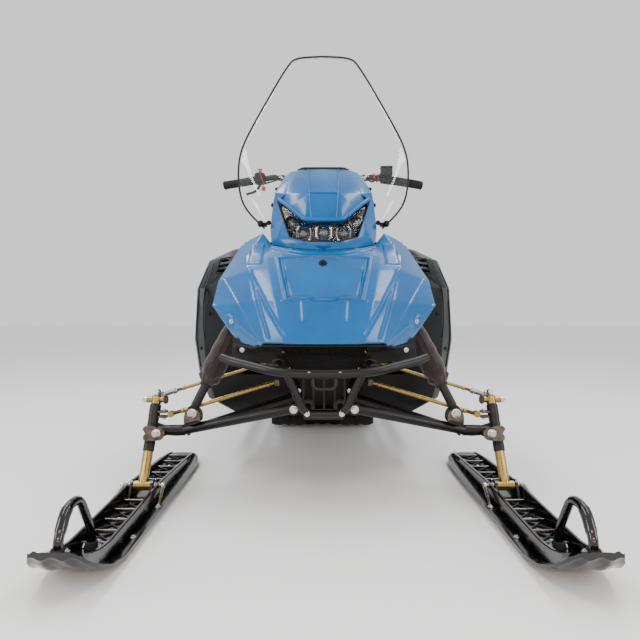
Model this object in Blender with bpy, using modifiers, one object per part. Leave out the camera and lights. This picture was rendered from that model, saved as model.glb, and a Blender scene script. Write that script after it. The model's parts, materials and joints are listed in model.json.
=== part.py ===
# Utility snowmobile, standing on its skis and track. Metres, +Z up, facing -Y.
# The origin lies on the ground below the middle of the whole machine.
# A station is a distance behind the ski pivots, so what lies ahead of them is negative.
# Left and right are the rider's: left is +X.
import math

import bmesh
import bpy
from mathutils import Matrix, Vector

# Overall reach and stance
NOSE_REACH = 0.585          # ski noses ahead of the ski pivots
TAIL_REACH = 2.70           # snow flap's lower edge behind the ski pivots
SKI_STANCE = 1.07           # between the middles of the skis
PIVOT_HEIGHT = 0.056        # ski pivot pins above the ground

# Skis
SKI_WIDTH = 0.165
SKI_TAIL = 0.48             # behind the pivots
KEEL_DEPTH = 0.012
KEEL_WIDTH = 0.020
SKI_WALL = 0.008
SKI_WALL_SPREAD = 0.096     # across the two upright walls
PIVOT_PIN_DIAMETER = 0.012
PIVOT_LUG_SPREAD = 0.060    # between the middles of the pivot lugs
PIVOT_LUG_WALL = 0.007
PIVOT_LUG_RADIUS = 0.019
HANDLE_DIAMETER = 0.021
HANDLE_FRONT = -0.553
HANDLE_REAR = -0.385
HANDLE_HEIGHT = 0.180

# Spindles and steering
KINGPIN_RISE = 0.255        # from the pivot pin to the steering arm
KINGPIN_SETBACK = 0.090     # over that rise
KINGPIN_INSET = 0.020       # over that rise
SPINDLE_DIAMETER = 0.029
SHAFT_DIAMETER = 0.018
SLEEVE_DIAMETER = 0.034
SLEEVE_LOW = 0.50           # shares of the kingpin's length
SLEEVE_HIGH = 0.88
EAR_LOW = 0.60
EAR_HIGH = 0.78
EAR_REACH = 0.055
LINK_EAR_REACH = 0.041
STEERING_ARM = 0.078
TIE_ROD_DIAMETER = 0.011
TIE_ROD_EYE = 0.026
LINK_DIAMETER = 0.013
TIE_ROD_INNER = (0.12, 0.20, 0.420)
LINK_INNER = (0.152, 0.13, 0.345)

# Suspension arms and shocks
ARM_DIAMETER = 0.030
ARM_REAR_DIAMETER = 0.024
ARM_BUSH_DIAMETER = 0.034
ARM_BUSH_LENGTH = 0.040
ARM_FRONT = (-0.045, 0.292)      # station and height of the front inner end
ARM_BACK = (0.205, 0.292)        # station and height of the rear inner end
SHOCK_SHARE = 0.80          # of the lower arm's length
SHOCK_TOP = (0.238, 0.125, 0.600)
SHOCK_ROD_DIAMETER = 0.026
SHOCK_COVER_DIAMETER = 0.056
SHOCK_SIDES = 14

# Front structure
BULKHEAD_FRONT = -0.060
BULKHEAD_BACK = 0.150
BULKHEAD_LOW = 0.262
BULKHEAD_HIGH = 0.470
BULKHEAD_LOW_WIDTH = 0.110
BULKHEAD_HIGH_WIDTH = 0.290
BULKHEAD_WALL = 0.006
BUMPER_DIAMETER = 0.024
BUMPER_WIDTH = 0.560
BUMPER_DROP = 0.028
BUMPER_HEIGHT = 0.440
BUMPER_STATION = -0.215
GRILLE_WIDTH = 0.250
GRILLE_HEIGHT = 0.062
GRILLE_WALL = 0.004
# The plain wings beside the grille's holes. Columns: distance from the middle, rise.
WING_OUTLINE = ((0.240, 0.004), (0.248, 0.012), (0.250, 0.024), (0.222, 0.026), (0.214, 0.056))
ENGINE_SIZE = (0.40, 0.26, 0.34)
ENGINE_STATION = 0.42
ENGINE_HEIGHT = 0.245
PAN_WALL = 0.005

# Body shells
SHELL_WALL = 0.004
SCREEN_WALL = 0.003
SEAM = 0.0006               # visible joints between body panels
SEAT_GAP = 0.0003           # pieces that touch

# Steering head
STEER_RAKE = math.radians(30)
STEER_HEAD = (0.575, 1.050)      # station and height of the bar's middle
BAR_WIDTH = 0.770
BAR_DIAMETER = 0.022
GRIP_LENGTH = 0.125
GRIP_DIAMETER = 0.034
COLUMN_DIAMETER = 0.032
COLUMN_LENGTH = 0.250

# Track and tunnel
TRACK_WIDTH = 0.508
BELT_WALL = 0.008
LUG_HEIGHT = 0.038
LUG_PITCH = 0.0726
SPROCKET = (0.780, 0.335)        # station and height of the drive axle
SPROCKET_RADIUS = 0.092
RAIL_NOSE = (1.130, 0.095)       # station and radius of the rails' front curve
IDLER = (2.350, 0.100)           # station and radius of the rear idler
TRACK_CLEARANCE = 0.020
TUNNEL_WALL = 0.004
TUNNEL_HIGH = 0.535
TUNNEL_LOW = 0.302
TUNNEL_FRONT = 0.600
TUNNEL_BACK = 2.560
BOARD_WIDTH = 0.175
BOARD_WALL = 0.004
BOARD_LIP_DIAMETER = 0.020
BOARD_FRONT = 0.600
BOARD_BACK = 2.430
RAIL_SPREAD = 0.220
RAIL_WALL = 0.014
RAIL_HEIGHT = 0.050
AXLE_DIAMETER = 0.022
BOGIE_RADIUS = 0.062

# Seat, rack and tail
TANK_FRONT = 0.640
TANK_BACK = 0.985
SEAT_WIDTH = 0.330
SEAT_BASE_RISE = 0.065      # of the cushion's base above the tunnel
RACK_LENGTH = 0.440
RACK_BACK = TUNNEL_BACK - 0.060
RACK_FRONT = RACK_BACK - RACK_LENGTH
RACK_WIDTH = 0.480
RACK_HEIGHT = 0.625
RACK_DIAMETER = 0.022
FLAP_WALL = 0.006
FLAP_WIDTH = 0.480
HITCH_HEIGHT = 0.390
REAR_BUMPER_DIAMETER = 0.026
REAR_BUMPER_FRONT = 2.25
TONGUE = (0.070, 0.060, 0.010)      # width, reach and wall of the hitch's two tongues
TONGUE_GAP = 0.036

PIVOT_Y = (NOSE_REACH - TAIL_REACH) / 2
PIVOT_X = SKI_STANCE / 2
CLOSE = 0.00001             # merging distance for welded points


def at(x, station, height):
    return Vector((x, station + PIVOT_Y, height))


def clear_scene():
    for thing in list(bpy.data.objects):
        bpy.data.objects.remove(thing, do_unlink=True)


def linear(hex_colour):
    channels = [int(hex_colour[i:i + 2], 16) / 255 for i in (1, 3, 5)]
    return [c / 12.92 if c <= 0.04045 else ((c + 0.055) / 1.055) ** 2.4 for c in channels]


def finish_of(name, hex_colour, roughness, metallic=0.0):
    made = bpy.data.materials.get(name)
    if made is None:
        made = bpy.data.materials.new(name)
        made.use_nodes = True
        shader = made.node_tree.nodes["Principled BSDF"]
        shader.inputs["Base Color"].default_value = (*linear(hex_colour), 1.0)
        shader.inputs["Roughness"].default_value = roughness
        shader.inputs["Metallic"].default_value = metallic
    return made


# name: colour, roughness, metallic
FINISHES = {
    "blue_gloss_shell": ("#1f86c8", 0.18, 0.0),
    "black_gloss_plastic": ("#0b0b0d", 0.22, 0.0),
    "black_plastic": ("#17181a", 0.55, 0.0),
    "slate_plastic": ("#2d363c", 0.55, 0.0),
    "clear_plastic": ("#dfe8ea", 0.05, 0.0),
    "zinc_yellow_steel": ("#b89a55", 0.32, 1.0),
    "black_painted_steel": ("#141414", 0.35, 0.0),
    "cast_grey": ("#6d6760", 0.50, 0.8),
    "alloy_sheet": ("#9a9c9e", 0.38, 0.9),
    "rubber": ("#121212", 0.85, 0.0),
    "cover_fabric": ("#1b1718", 0.90, 0.0),
    "seat_vinyl": ("#1a1a1c", 0.60, 0.0),
    "red_plastic": ("#a81e2c", 0.40, 0.0),
    "lamp_chrome": ("#8d949a", 0.20, 0.6),
}


def dressed(thing, finish):
    thing.data.materials.clear()
    thing.data.materials.append(finish_of(finish, *FINISHES[finish]))
    return thing


def solid(name, bm, finish):
    bmesh.ops.remove_doubles(bm, verts=bm.verts, dist=CLOSE)
    bmesh.ops.recalc_face_normals(bm, faces=bm.faces)
    mesh = bpy.data.meshes.new(name)
    bm.to_mesh(mesh)
    bm.free()
    thing = bpy.data.objects.new(name, mesh)
    PARTS.objects.link(thing)
    return dressed(thing, finish)


def smooth(thing, angle=40):
    thing.data.shade_smooth()
    thing.data.set_sharp_from_angle(angle=math.radians(angle))
    return thing


def settled(thing):
    # The object's evaluated mesh, with its modifiers and its place made part of it.
    bpy.context.view_layer.update()
    graph = bpy.context.evaluated_depsgraph_get()
    mesh = bpy.data.meshes.new_from_object(thing.evaluated_get(graph))
    mesh.transform(thing.matrix_world)
    bm = bmesh.new()
    bm.from_mesh(mesh)
    finish = thing.active_material.name
    name = thing.name
    bpy.data.objects.remove(thing, do_unlink=True)
    bpy.data.meshes.remove(mesh)
    return solid(name, bm, finish)


def combined(operation, base, others):
    for other in others:
        step = base.modifiers.new(operation.title(), "BOOLEAN")
        step.operation = operation
        step.solver = "EXACT"
        step.object = other
    made = settled(base)
    for other in others:
        bpy.data.objects.remove(other, do_unlink=True)
    return made


def fuse(base, *others):
    return combined("UNION", base, others)


def cut(base, *others):
    return combined("DIFFERENCE", base, others)


def block(name, size, middle, finish, turn=None, bevel=0.0):
    bm = bmesh.new()
    bmesh.ops.create_cube(bm, size=1.0)
    bmesh.ops.scale(bm, vec=size, verts=bm.verts)
    if bevel:
        bmesh.ops.bevel(bm, geom=bm.edges, offset=bevel, segments=1, affect="EDGES", profile=0.5)
    matrix = Matrix.Translation(middle)
    if turn is not None:
        matrix = matrix @ turn.to_matrix().to_4x4()
    bmesh.ops.transform(bm, matrix=matrix, verts=bm.verts)
    return solid(name, bm, finish)


def rod(name, start, end, diameter, finish, sides=16, end_diameter=None):
    start, end = Vector(start), Vector(end)
    bm = bmesh.new()
    bmesh.ops.create_cone(
        bm, cap_ends=True, segments=sides, depth=(end - start).length,
        radius1=diameter / 2, radius2=(end_diameter or diameter) / 2)
    turn = (end - start).to_track_quat("Z", "Y").to_matrix().to_4x4()
    bmesh.ops.transform(bm, matrix=Matrix.Translation((start + end) / 2) @ turn, verts=bm.verts)
    return smooth(solid(name, bm, finish))


def rounded_path(points, radius, steps=3):
    # Straight runs through the points, each inner corner turned into a curve.
    points = [Vector(p) for p in points]
    path = [points[0]]
    for before, corner, after in zip(points, points[1:], points[2:]):
        reach = min(radius, (corner - before).length * 0.45, (after - corner).length * 0.45)
        enter = corner + (before - corner).normalized() * reach
        leave = corner + (after - corner).normalized() * reach
        for i in range(steps + 1):
            t = i / steps
            path.append(enter * (1 - t) ** 2 + corner * 2 * t * (1 - t) + leave * t ** 2)
    path.append(points[-1])
    return path


def tube(name, points, diameter, finish, radius=0.04, steps=3, resolution=2):
    path = rounded_path(points, radius, steps)
    curve = bpy.data.curves.new(name, "CURVE")
    curve.dimensions = "3D"
    curve.bevel_depth = diameter / 2
    curve.bevel_resolution = resolution
    curve.use_fill_caps = True
    spline = curve.splines.new("POLY")
    spline.points.add(len(path) - 1)
    for point, place in zip(spline.points, path):
        point.co = (*place, 1.0)
    thing = bpy.data.objects.new(name, curve)
    PARTS.objects.link(thing)
    curve.materials.append(finish_of(finish, *FINISHES[finish]))
    return smooth(settled(thing))


def plate(name, outlines, wall, matrix, finish):
    # A flat outline with its holes, in its own XY plane, wall thick and set by the matrix.
    curve = bpy.data.curves.new(name, "CURVE")
    curve.dimensions = "2D"
    curve.fill_mode = "BOTH"
    curve.extrude = wall / 2
    for outline in outlines:
        spline = curve.splines.new("POLY")
        spline.points.add(len(outline) - 1)
        spline.use_cyclic_u = True
        for point, (u, v) in zip(spline.points, outline):
            point.co = (u, v, 0.0, 1.0)
    thing = bpy.data.objects.new(name, curve)
    PARTS.objects.link(thing)
    thing.matrix_world = matrix
    curve.materials.append(finish_of(finish, *FINISHES[finish]))
    return settled(thing)


def side_plane(x):
    # Plate axes u along the station, v up, its middle plane at x.
    return Matrix(((0, 0, 1, x), (1, 0, 0, PIVOT_Y), (0, 1, 0, 0), (0, 0, 0, 1)))


def front_plane(station):
    # Plate axes u along X, v up, its middle plane at the station.
    return Matrix(((1, 0, 0, 0), (0, 0, -1, station + PIVOT_Y), (0, 1, 0, 0), (0, 0, 0, 1)))


def level_plane(height):
    # Plate axes u along X, v along the station.
    return Matrix(((1, 0, 0, 0), (0, 1, 0, PIVOT_Y), (0, 0, 1, height), (0, 0, 0, 1)))


def circle(radius, sides=12, middle=(0.0, 0.0), start=0.0):
    turns = [start + 2 * math.pi * i / sides for i in range(sides)]
    return [(middle[0] + radius * math.cos(a), middle[1] + radius * math.sin(a)) for a in turns]


def loft(name, rings, finish, closed=False):
    # Skin between rings of equally many points, with flat ends unless the rings close up.
    bm = bmesh.new()
    rows = [[bm.verts.new(p) for p in ring] for ring in rings]
    pairs = list(zip(rows, rows[1:]))
    if closed:
        pairs.append((rows[-1], rows[0]))
    for low, high in pairs:
        for i in range(len(low)):
            j = (i + 1) % len(low)
            bm.faces.new((low[i], low[j], high[j], high[i]))
    if not closed:
        bm.faces.new(list(reversed(rows[0])))
        bm.faces.new(rows[-1])
    return solid(name, bm, finish)


def shell(name, grid, wall, finish, both_halves=False, flip=False):
    # An open surface through the rows of the grid, thickened inward.
    bm = bmesh.new()
    rows = [[bm.verts.new(p) for p in row] for row in grid]
    for low, high in zip(rows, rows[1:]):
        for i in range(len(low) - 1):
            corners = [low[i], low[i + 1], high[i + 1], high[i]]
            bm.faces.new(list(reversed(corners)) if flip else corners)
    mesh = bpy.data.meshes.new(name)
    bm.to_mesh(mesh)
    bm.free()
    thing = bpy.data.objects.new(name, mesh)
    PARTS.objects.link(thing)
    dressed(thing, finish)
    if both_halves:
        half = thing.modifiers.new("Mirror", "MIRROR")
        half.use_axis = (True, False, False)
        half.merge_threshold = 0.0001
    wall_step = thing.modifiers.new("Wall", "SOLIDIFY")
    wall_step.thickness = wall
    wall_step.offset = -1.0
    wall_step.use_even_offset = True
    return settled(thing)


def other_side(name, source):
    # The same piece mirrored to -X.
    bm = bmesh.new()
    bm.from_mesh(source.data)
    bmesh.ops.transform(bm, matrix=Matrix.Scale(-1, 4, (1, 0, 0)), verts=bm.verts)
    bmesh.ops.reverse_faces(bm, faces=bm.faces)
    return solid(name, bm, source.active_material.name)


def carried(parent, *pieces):
    # The pieces keep their place and take their origin at the parent's axis.
    bpy.context.view_layer.update()
    for piece in pieces:
        piece.data.transform(Matrix.Translation(-parent.matrix_world.translation))
        piece.parent = parent


def axis_empty(name, place, parent=None):
    empty = bpy.data.objects.new(name, None)
    empty.empty_display_size = 0.08
    PARTS.objects.link(empty)
    empty.location = place
    if parent is not None:
        empty.location = Vector(place) - parent.matrix_world.translation
        empty.parent = parent
    bpy.context.view_layer.update()
    return empty


# Kingpin line of the left spindle, from the pivot pin to the steering arm
KINGPIN_LOW = at(PIVOT_X, 0.0, PIVOT_HEIGHT)
KINGPIN_TOP = at(PIVOT_X - KINGPIN_INSET, KINGPIN_SETBACK, PIVOT_HEIGHT + KINGPIN_RISE)


def kingpin(share):
    return KINGPIN_LOW.lerp(KINGPIN_TOP, share)


# The ski's sections. Columns: reach (share of the nose's or the tail's), width share,
# sole lift above the keel, wall height, channel height, the last two above the sole.
SKI_SECTIONS = (
    (-1.000, 0.52, 0.088, 0.012, 0.010),
    (-0.970, 0.70, 0.066, 0.020, 0.012),
    (-0.890, 0.86, 0.034, 0.032, 0.014),
    (-0.790, 0.95, 0.010, 0.040, 0.016),
    (-0.680, 1.00, 0.000, 0.042, 0.018),
    (-0.250, 1.00, 0.000, 0.046, 0.018),
    (0.000, 1.00, 0.000, 0.050, 0.018),
    (0.350, 1.00, 0.000, 0.042, 0.018),
    (0.800, 0.97, 0.000, 0.030, 0.016),
    (0.940, 0.84, 0.004, 0.020, 0.014),
    (1.000, 0.60, 0.010, 0.012, 0.010),
)


def ski_station(reach):
    return reach * (NOSE_REACH if reach < 0 else SKI_TAIL)


def ski_channel_height(station):
    # Height of the channel's floor above the ground, between the sections.
    rows = [(ski_station(r), KEEL_DEPTH + lift + channel) for r, _, lift, _, channel in SKI_SECTIONS]
    for (low, low_height), (high, high_height) in zip(rows, rows[1:]):
        if low <= station <= high:
            return low_height + (high_height - low_height) * (station - low) / (high - low)
    return rows[-1][1]


def ski_ring(reach, width_share, lift, wall, channel):
    half = SKI_WIDTH / 2 * width_share
    spread = min(SKI_WALL_SPREAD / 2, half * 0.8)
    sole = KEEL_DEPTH + lift
    edge = sole + SKI_WALL
    keel = sole - KEEL_DEPTH * (1.0 if lift < 0.005 else 0.5)
    right = [
        (KEEL_WIDTH / 2, keel), (KEEL_WIDTH / 2 + 0.004, sole), (half, sole), (half, edge),
        (spread + 0.006, edge), (spread, sole + wall), (spread - SKI_WALL, sole + wall),
        (spread - SKI_WALL - 0.004, sole + channel)]
    outline = right + [(-x, z) for x, z in reversed(right)]
    return [at(PIVOT_X + x, ski_station(reach), z) for x, z in outline]


def build_ski():
    ski = loft("ski_left", [ski_ring(*row) for row in SKI_SECTIONS], "black_gloss_plastic")
    floor = ski_channel_height(0.0) - 0.006
    lugs = []
    for side in (-1, 1):
        arch = [(PIVOT_LUG_RADIUS * math.cos(a), PIVOT_HEIGHT + PIVOT_LUG_RADIUS * math.sin(a))
                for a in [math.pi * i / 6 for i in range(7)]]
        outline = [(-0.045, floor), (0.045, floor)] + arch
        hole = circle(PIVOT_PIN_DIAMETER / 2 + 2 * SEAT_GAP, 10, (0.0, PIVOT_HEIGHT))
        x = PIVOT_X + side * PIVOT_LUG_SPREAD / 2
        lugs.append(plate("lug", [outline, hole], PIVOT_LUG_WALL, side_plane(x), "black_gloss_plastic"))
    return fuse(ski, *lugs)


def build_ski_handle():
    # A hoop along the ski, seated on the channel at both feet.
    half = HANDLE_DIAMETER / 2

    def foot(station):
        return max(ski_channel_height(station - half), ski_channel_height(station + half)) + SEAT_GAP

    front, rear = foot(HANDLE_FRONT), foot(HANDLE_REAR)
    middle = (HANDLE_FRONT + HANDLE_REAR) / 2
    centre_top = HANDLE_HEIGHT - half
    path = [
        (HANDLE_FRONT, front), (HANDLE_FRONT, front + 0.030),
        (middle - 0.045, centre_top), (middle + 0.020, centre_top),
        (HANDLE_REAR, rear + 0.045), (HANDLE_REAR, rear)]
    hoop = tube("ski_handle_left", [at(PIVOT_X, s, z) for s, z in path], HANDLE_DIAMETER,
                "rubber", radius=0.035)
    return hoop


def build_spindle():
    # Cross tube on the ski pivot, gold leg, slim shaft in the sleeve, steering arm on top.
    inner_width = PIVOT_LUG_SPREAD - PIVOT_LUG_WALL - 2 * SEAT_GAP
    low = KINGPIN_LOW
    cross = rod("spindle_left", low - Vector((inner_width / 2, 0, 0)),
                low + Vector((inner_width / 2, 0, 0)), SPINDLE_DIAMETER, "zinc_yellow_steel", 16)
    pin_half = PIVOT_LUG_SPREAD / 2 + PIVOT_LUG_WALL / 2 + 0.004
    pin = rod("pin", low - Vector((pin_half, 0, 0)), low + Vector((pin_half, 0, 0)),
              PIVOT_PIN_DIAMETER, "zinc_yellow_steel", 10)
    length = (KINGPIN_TOP - KINGPIN_LOW).length
    leg_top = SLEEVE_LOW - 0.001 / length
    leg = rod("leg", low, kingpin(leg_top), SPINDLE_DIAMETER, "zinc_yellow_steel", 16)
    shaft = rod("shaft", kingpin(leg_top - 0.02), kingpin(1.02), SHAFT_DIAMETER,
                "zinc_yellow_steel", 16)
    collar = rod("collar", kingpin(SLEEVE_HIGH + 0.001 / length), kingpin(SLEEVE_HIGH + 0.035),
                 SLEEVE_DIAMETER * 0.85, "zinc_yellow_steel", 16)
    arm_root = kingpin(0.96)
    arm = rod("arm", arm_root, steering_arm_end(), 0.020, "zinc_yellow_steel", 8)
    return fuse(cross, pin, leg, shaft, collar, arm)


def steering_arm_end():
    return kingpin(0.96) + Vector((0.010, STEERING_ARM, -0.004))


def tie_rod_joint():
    return steering_arm_end() + Vector((0.0, TIE_ROD_EYE / 2 + 2 * SEAT_GAP, 0.0))


def build_tie_rod():
    # Its eye hangs on the end of the steering arm, turned about the kingpin's direction.
    joint = tie_rod_joint()
    inner = at(*TIE_ROD_INNER)
    up = Vector((0, 0, 1))
    eye = rod("tie_rod_left", joint - up * 0.010, joint + up * 0.010, TIE_ROD_EYE, "zinc_yellow_steel", 12)
    run = (inner - joint).normalized()
    bar = rod("bar", joint + run * 0.006, inner, TIE_ROD_DIAMETER, "zinc_yellow_steel", 10)
    return fuse(eye, bar)


def build_knuckle():
    start, end = kingpin(SLEEVE_LOW), kingpin(SLEEVE_HIGH)
    body = rod("knuckle_left", start, end, SLEEVE_DIAMETER, "black_painted_steel", 16)
    low_eye = kingpin(EAR_LOW)
    up_eye = kingpin(EAR_HIGH)
    lower = block("lower_ear", (0.050, 0.034, 0.034), low_eye - Vector((0.030, 0, 0)),
                  "black_painted_steel", bevel=0.006)
    upper = block("upper_ear", (0.034, 0.022, 0.022), up_eye - Vector((0.024, 0, 0)),
                  "black_painted_steel", bevel=0.004)
    body = fuse(body, lower, upper)
    run = (end - start) * 0.2
    bore = rod("bore", start - run, end + run, SHAFT_DIAMETER + 4 * SEAT_GAP, "black_painted_steel", 16)
    return smooth(cut(body, bore))


def arm_inner_x(height):
    # The bush lies against the bulkhead's sloping side.
    low, high = BULKHEAD_LOW_WIDTH / 2, BULKHEAD_HIGH_WIDTH / 2
    slope = (high - low) / (BULKHEAD_HIGH - BULKHEAD_LOW)
    wall = low + slope * (height - BULKHEAD_LOW)
    return wall + (ARM_BUSH_DIAMETER / 2 + SEAT_GAP) * math.hypot(1.0, slope)


def arm_ear():
    # Where the arm's outer end meets the knuckle's lower ear.
    return kingpin(EAR_LOW) - Vector((EAR_REACH + SEAT_GAP, 0, 0))


def arm_front_end():
    return at(arm_inner_x(ARM_FRONT[1]), *ARM_FRONT)


def build_lower_arm():
    # A thick front tube and a slimmer rear one meet ahead of the knuckle's lower ear.
    ear = arm_ear()
    front_in = arm_front_end()
    back_in = at(arm_inner_x(ARM_BACK[1]), *ARM_BACK)
    front = tube("lower_arm_left", [front_in, ear - Vector((0.012, 0, 0))], ARM_DIAMETER,
                 "black_painted_steel", resolution=3)
    back = tube("rear", [back_in, ear - Vector((0.060, -0.004, 0))], ARM_REAR_DIAMETER,
                "black_painted_steel")
    end = block("end", (0.060, 0.040, 0.036), ear - Vector((0.030, 0, 0)), "black_painted_steel",
                bevel=0.006)
    lug = block("lug", (0.040, 0.034, 0.040), front_in.lerp(ear, SHOCK_SHARE) + Vector((0, 0, 0.014)),
                "black_painted_steel", bevel=0.004)
    reach = Vector((0, ARM_BUSH_LENGTH / 2, 0))
    bushes = [rod("bush", end_at - reach, end_at + reach, ARM_BUSH_DIAMETER, "black_painted_steel", 12)
              for end_at in (front_in, back_in)]
    return fuse(front, back, end, lug, *bushes)


def arm_top_at_shock():
    # Where the shock stands: on the lug of the lower arm.
    return arm_front_end().lerp(arm_ear(), SHOCK_SHARE) + Vector((0, 0, 0.034 + SEAT_GAP))


def build_upper_link():
    ear = kingpin(EAR_HIGH) - Vector((LINK_EAR_REACH + SEAT_GAP, 0, 0))
    inner = at(*LINK_INNER)
    eye = rod("upper_link_left", ear + Vector((-0.010, -0.010, 0)),
              ear + Vector((-0.010, 0.010, 0)), 0.020, "zinc_yellow_steel", 12)
    bar = rod("bar", ear + Vector((-0.012, 0, 0)), inner, LINK_DIAMETER, "zinc_yellow_steel", 10)
    return fuse(eye, bar)


def build_shock():
    # A rod rises from the lower arm into a sleeved damper that leans in under the hood.
    foot = arm_top_at_shock()
    top = at(*SHOCK_TOP)
    eye_middle = foot + Vector((0, 0, 0.016))
    lean = (top - eye_middle).normalized()
    eye = block("shock_left", (0.026, 0.026, 0.032), eye_middle, "black_painted_steel", bevel=0.004)
    body = rod("body", eye_middle, top, SHOCK_ROD_DIAMETER, "black_painted_steel", SHOCK_SIDES)
    return fuse(eye, body), eye_middle, lean, top


def build_shock_cover(foot, lean, top):
    # A gathered fabric sleeve: narrow at its tied ends, full between them.
    length = (top - foot).length
    bore = (SHOCK_ROD_DIAMETER + 2 * SEAT_GAP) / math.cos(math.pi / SHOCK_SIDES)
    profile = ((0.22, 0.60), (0.27, 0.86), (0.40, 0.98), (0.62, 1.0), (0.85, 1.0), (0.95, 0.9))
    rings = []
    turn = lean.to_track_quat("Z", "Y")
    outer = [(share, SHOCK_COVER_DIAMETER / 2 * swell) for share, swell in profile]
    inner = [(share, bore / 2) for share, _ in reversed(profile)]
    for share, radius in outer + inner:
        ring = [turn @ Vector((radius * math.cos(a), radius * math.sin(a), share * length)) + foot
                for a in [2 * math.pi * i / SHOCK_SIDES for i in range(SHOCK_SIDES)]]
        rings.append(ring)
    return smooth(loft("shock_cover_left", rings, "cover_fabric", closed=True), 60)


def build_front_structure():
    # A tapered open box that carries the arms, the links, the bumper and the grille.
    def frame_ring(half_low, half_high, low, high, station):
        return [at(-half_low, station, low), at(half_low, station, low),
                at(half_high, station, high), at(-half_high, station, high)]

    low, high = BULKHEAD_LOW_WIDTH / 2, BULKHEAD_HIGH_WIDTH / 2
    outer = loft("bulkhead", [frame_ring(low, high, BULKHEAD_LOW, BULKHEAD_HIGH, s)
                              for s in (BULKHEAD_FRONT, BULKHEAD_BACK)], "black_painted_steel")
    wall = BULKHEAD_WALL
    hollow = loft("hollow", [frame_ring(low - wall, high - wall, BULKHEAD_LOW + wall,
                                        BULKHEAD_HIGH - wall, s)
                             for s in (BULKHEAD_FRONT - 0.05, BULKHEAD_BACK - wall)],
                  "black_painted_steel")
    outer = cut(outer, hollow)
    half = arm_inner_x(ARM_BACK[1]) - ARM_BUSH_DIAMETER / 2 - SEAT_GAP
    back = PAN_RIM[0][1] - SEAT_GAP
    start = BULKHEAD_BACK - 0.004
    foot = block("foot", (2 * half, back - start, 0.040),
                 at(0, (back + start) / 2, BULKHEAD_LOW + 0.020), "black_painted_steel")
    post = block("post", (0.080, back - start, PAN_LEVELS[-1][2] - BULKHEAD_LOW),
                 at(0, (back + start) / 2, (PAN_LEVELS[-1][2] + BULKHEAD_LOW) / 2), "black_painted_steel")
    return fuse(outer, foot, post)


def build_bumper():
    half = BUMPER_WIDTH / 2
    s = BUMPER_STATION
    z = BUMPER_HEIGHT
    bar = tube("front_bumper", [
        at(-half, s + 0.105, z + 0.004), at(-half + 0.030, s + 0.085, z - 0.004),
        at(-0.115, s + 0.012, z - BUMPER_DROP), at(0.115, s + 0.012, z - BUMPER_DROP),
        at(half - 0.030, s + 0.085, z - 0.004), at(half, s + 0.105, z + 0.004)],
        BUMPER_DIAMETER, "black_painted_steel", radius=0.05)
    brace = tube("brace", [
        at(-0.098, s + 0.015, z - BUMPER_DROP), at(-0.060, s + 0.035, 0.318),
        at(-0.042, s + 0.045, 0.300), at(0.042, s + 0.045, 0.300),
        at(0.060, s + 0.035, 0.318), at(0.098, s + 0.015, z - BUMPER_DROP)],
        BUMPER_DIAMETER * 0.9, "black_painted_steel", radius=0.02)
    back = BULKHEAD_FRONT - SEAT_GAP
    legs = []
    for side in (-1, 1):
        legs.append(tube("leg", [at(side * 0.128, s + 0.030, z - 0.016), at(side * 0.128, back, z - 0.016)],
                         BUMPER_DIAMETER * 0.85, "black_painted_steel"))
        legs.append(tube("leg", [at(side * 0.046, s + 0.045, 0.302), at(side * 0.046, back, 0.302)],
                         BUMPER_DIAMETER * 0.85, "black_painted_steel"))
    return fuse(bar, brace, *legs)


def build_grille():
    # A thin plate with rows of six-sided holes between plain wings, standing on the bumper's legs.
    low = BUMPER_HEIGHT + 0.006
    station = BULKHEAD_FRONT - GRILLE_WALL / 2 - 2 * SEAT_GAP
    half = GRILLE_WIDTH / 2
    wing = [(x, low + rise) for x, rise in WING_OUTLINE]
    right = [(half, low)] + wing + [(half, low + GRILLE_HEIGHT)]
    outline = right + [(-x, z) for x, z in reversed(right)]
    columns, rows = 12, 3
    pitch_x = GRILLE_WIDTH / (columns + 0.6)
    pitch_z = GRILLE_HEIGHT / (rows + 0.3)
    holes = []
    for row in range(rows):
        for column in range(columns):
            shift = 0.25 if row % 2 else -0.25
            x = (column - (columns - 1) / 2 + shift) * pitch_x
            z = low + (row + 0.65) * pitch_z
            holes.append(circle(min(pitch_x, pitch_z) * 0.42, 6, (x, z), math.pi / 6))
    return plate("front_grille", [outline] + holes, GRILLE_WALL, front_plane(station), "black_plastic")


# Half of the belly pan's plan. Columns: half width, station.
PAN_RIM = ((0.0, 0.235), (0.270, 0.245), (0.400, 0.285), (0.436, 0.340), (0.436, 0.500),
           (0.400, TUNNEL_FRONT - SEAM))
# Columns: share of the rim's width, forward pull, height.
PAN_LEVELS = ((0.745, 0.020, 0.216), (0.930, 0.006, 0.262), (1.0, 0.0, 0.356))


def pan_ring(share, pull, height, inset=0.0):
    front = PAN_RIM[0][1]
    back = PAN_RIM[-1][1]
    right = [(x * share - (inset if x else 0.0), s + pull * (back - s) / (back - front)) for x, s in PAN_RIM]
    outline = right + [(-x, s) for x, s in reversed(right) if x]
    return [at(x, s, height) for x, s in outline]


def build_belly_pan():
    outer = loft("belly_pan", [pan_ring(*level) for level in PAN_LEVELS], "black_plastic")
    inner_levels = [(share, pull, height) for share, pull, height in PAN_LEVELS]
    inner_levels[0] = (inner_levels[0][0], inner_levels[0][1], inner_levels[0][2] + PAN_WALL)
    inner_levels.append((1.0, 0.0, PAN_LEVELS[-1][2] + 0.02))
    rings = []
    for share, pull, height in inner_levels:
        ring = pan_ring(share, pull, height, PAN_WALL)
        front = min(p.y for p in ring)
        back = max(p.y for p in ring)
        rings.append([Vector((p.x, p.y + PAN_WALL if p.y < (front + back) / 2 else p.y - PAN_WALL, p.z))
                      for p in ring])
    return cut(outer, loft("hollow", rings, "black_plastic"))


def build_engine():
    width, length, height = ENGINE_SIZE
    low = PAN_LEVELS[0][2] + PAN_WALL + SEAT_GAP
    return block("engine_block", (width, length, height),
                 at(0, ENGINE_STATION, low + height / 2), "cast_grey", bevel=0.012)


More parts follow.
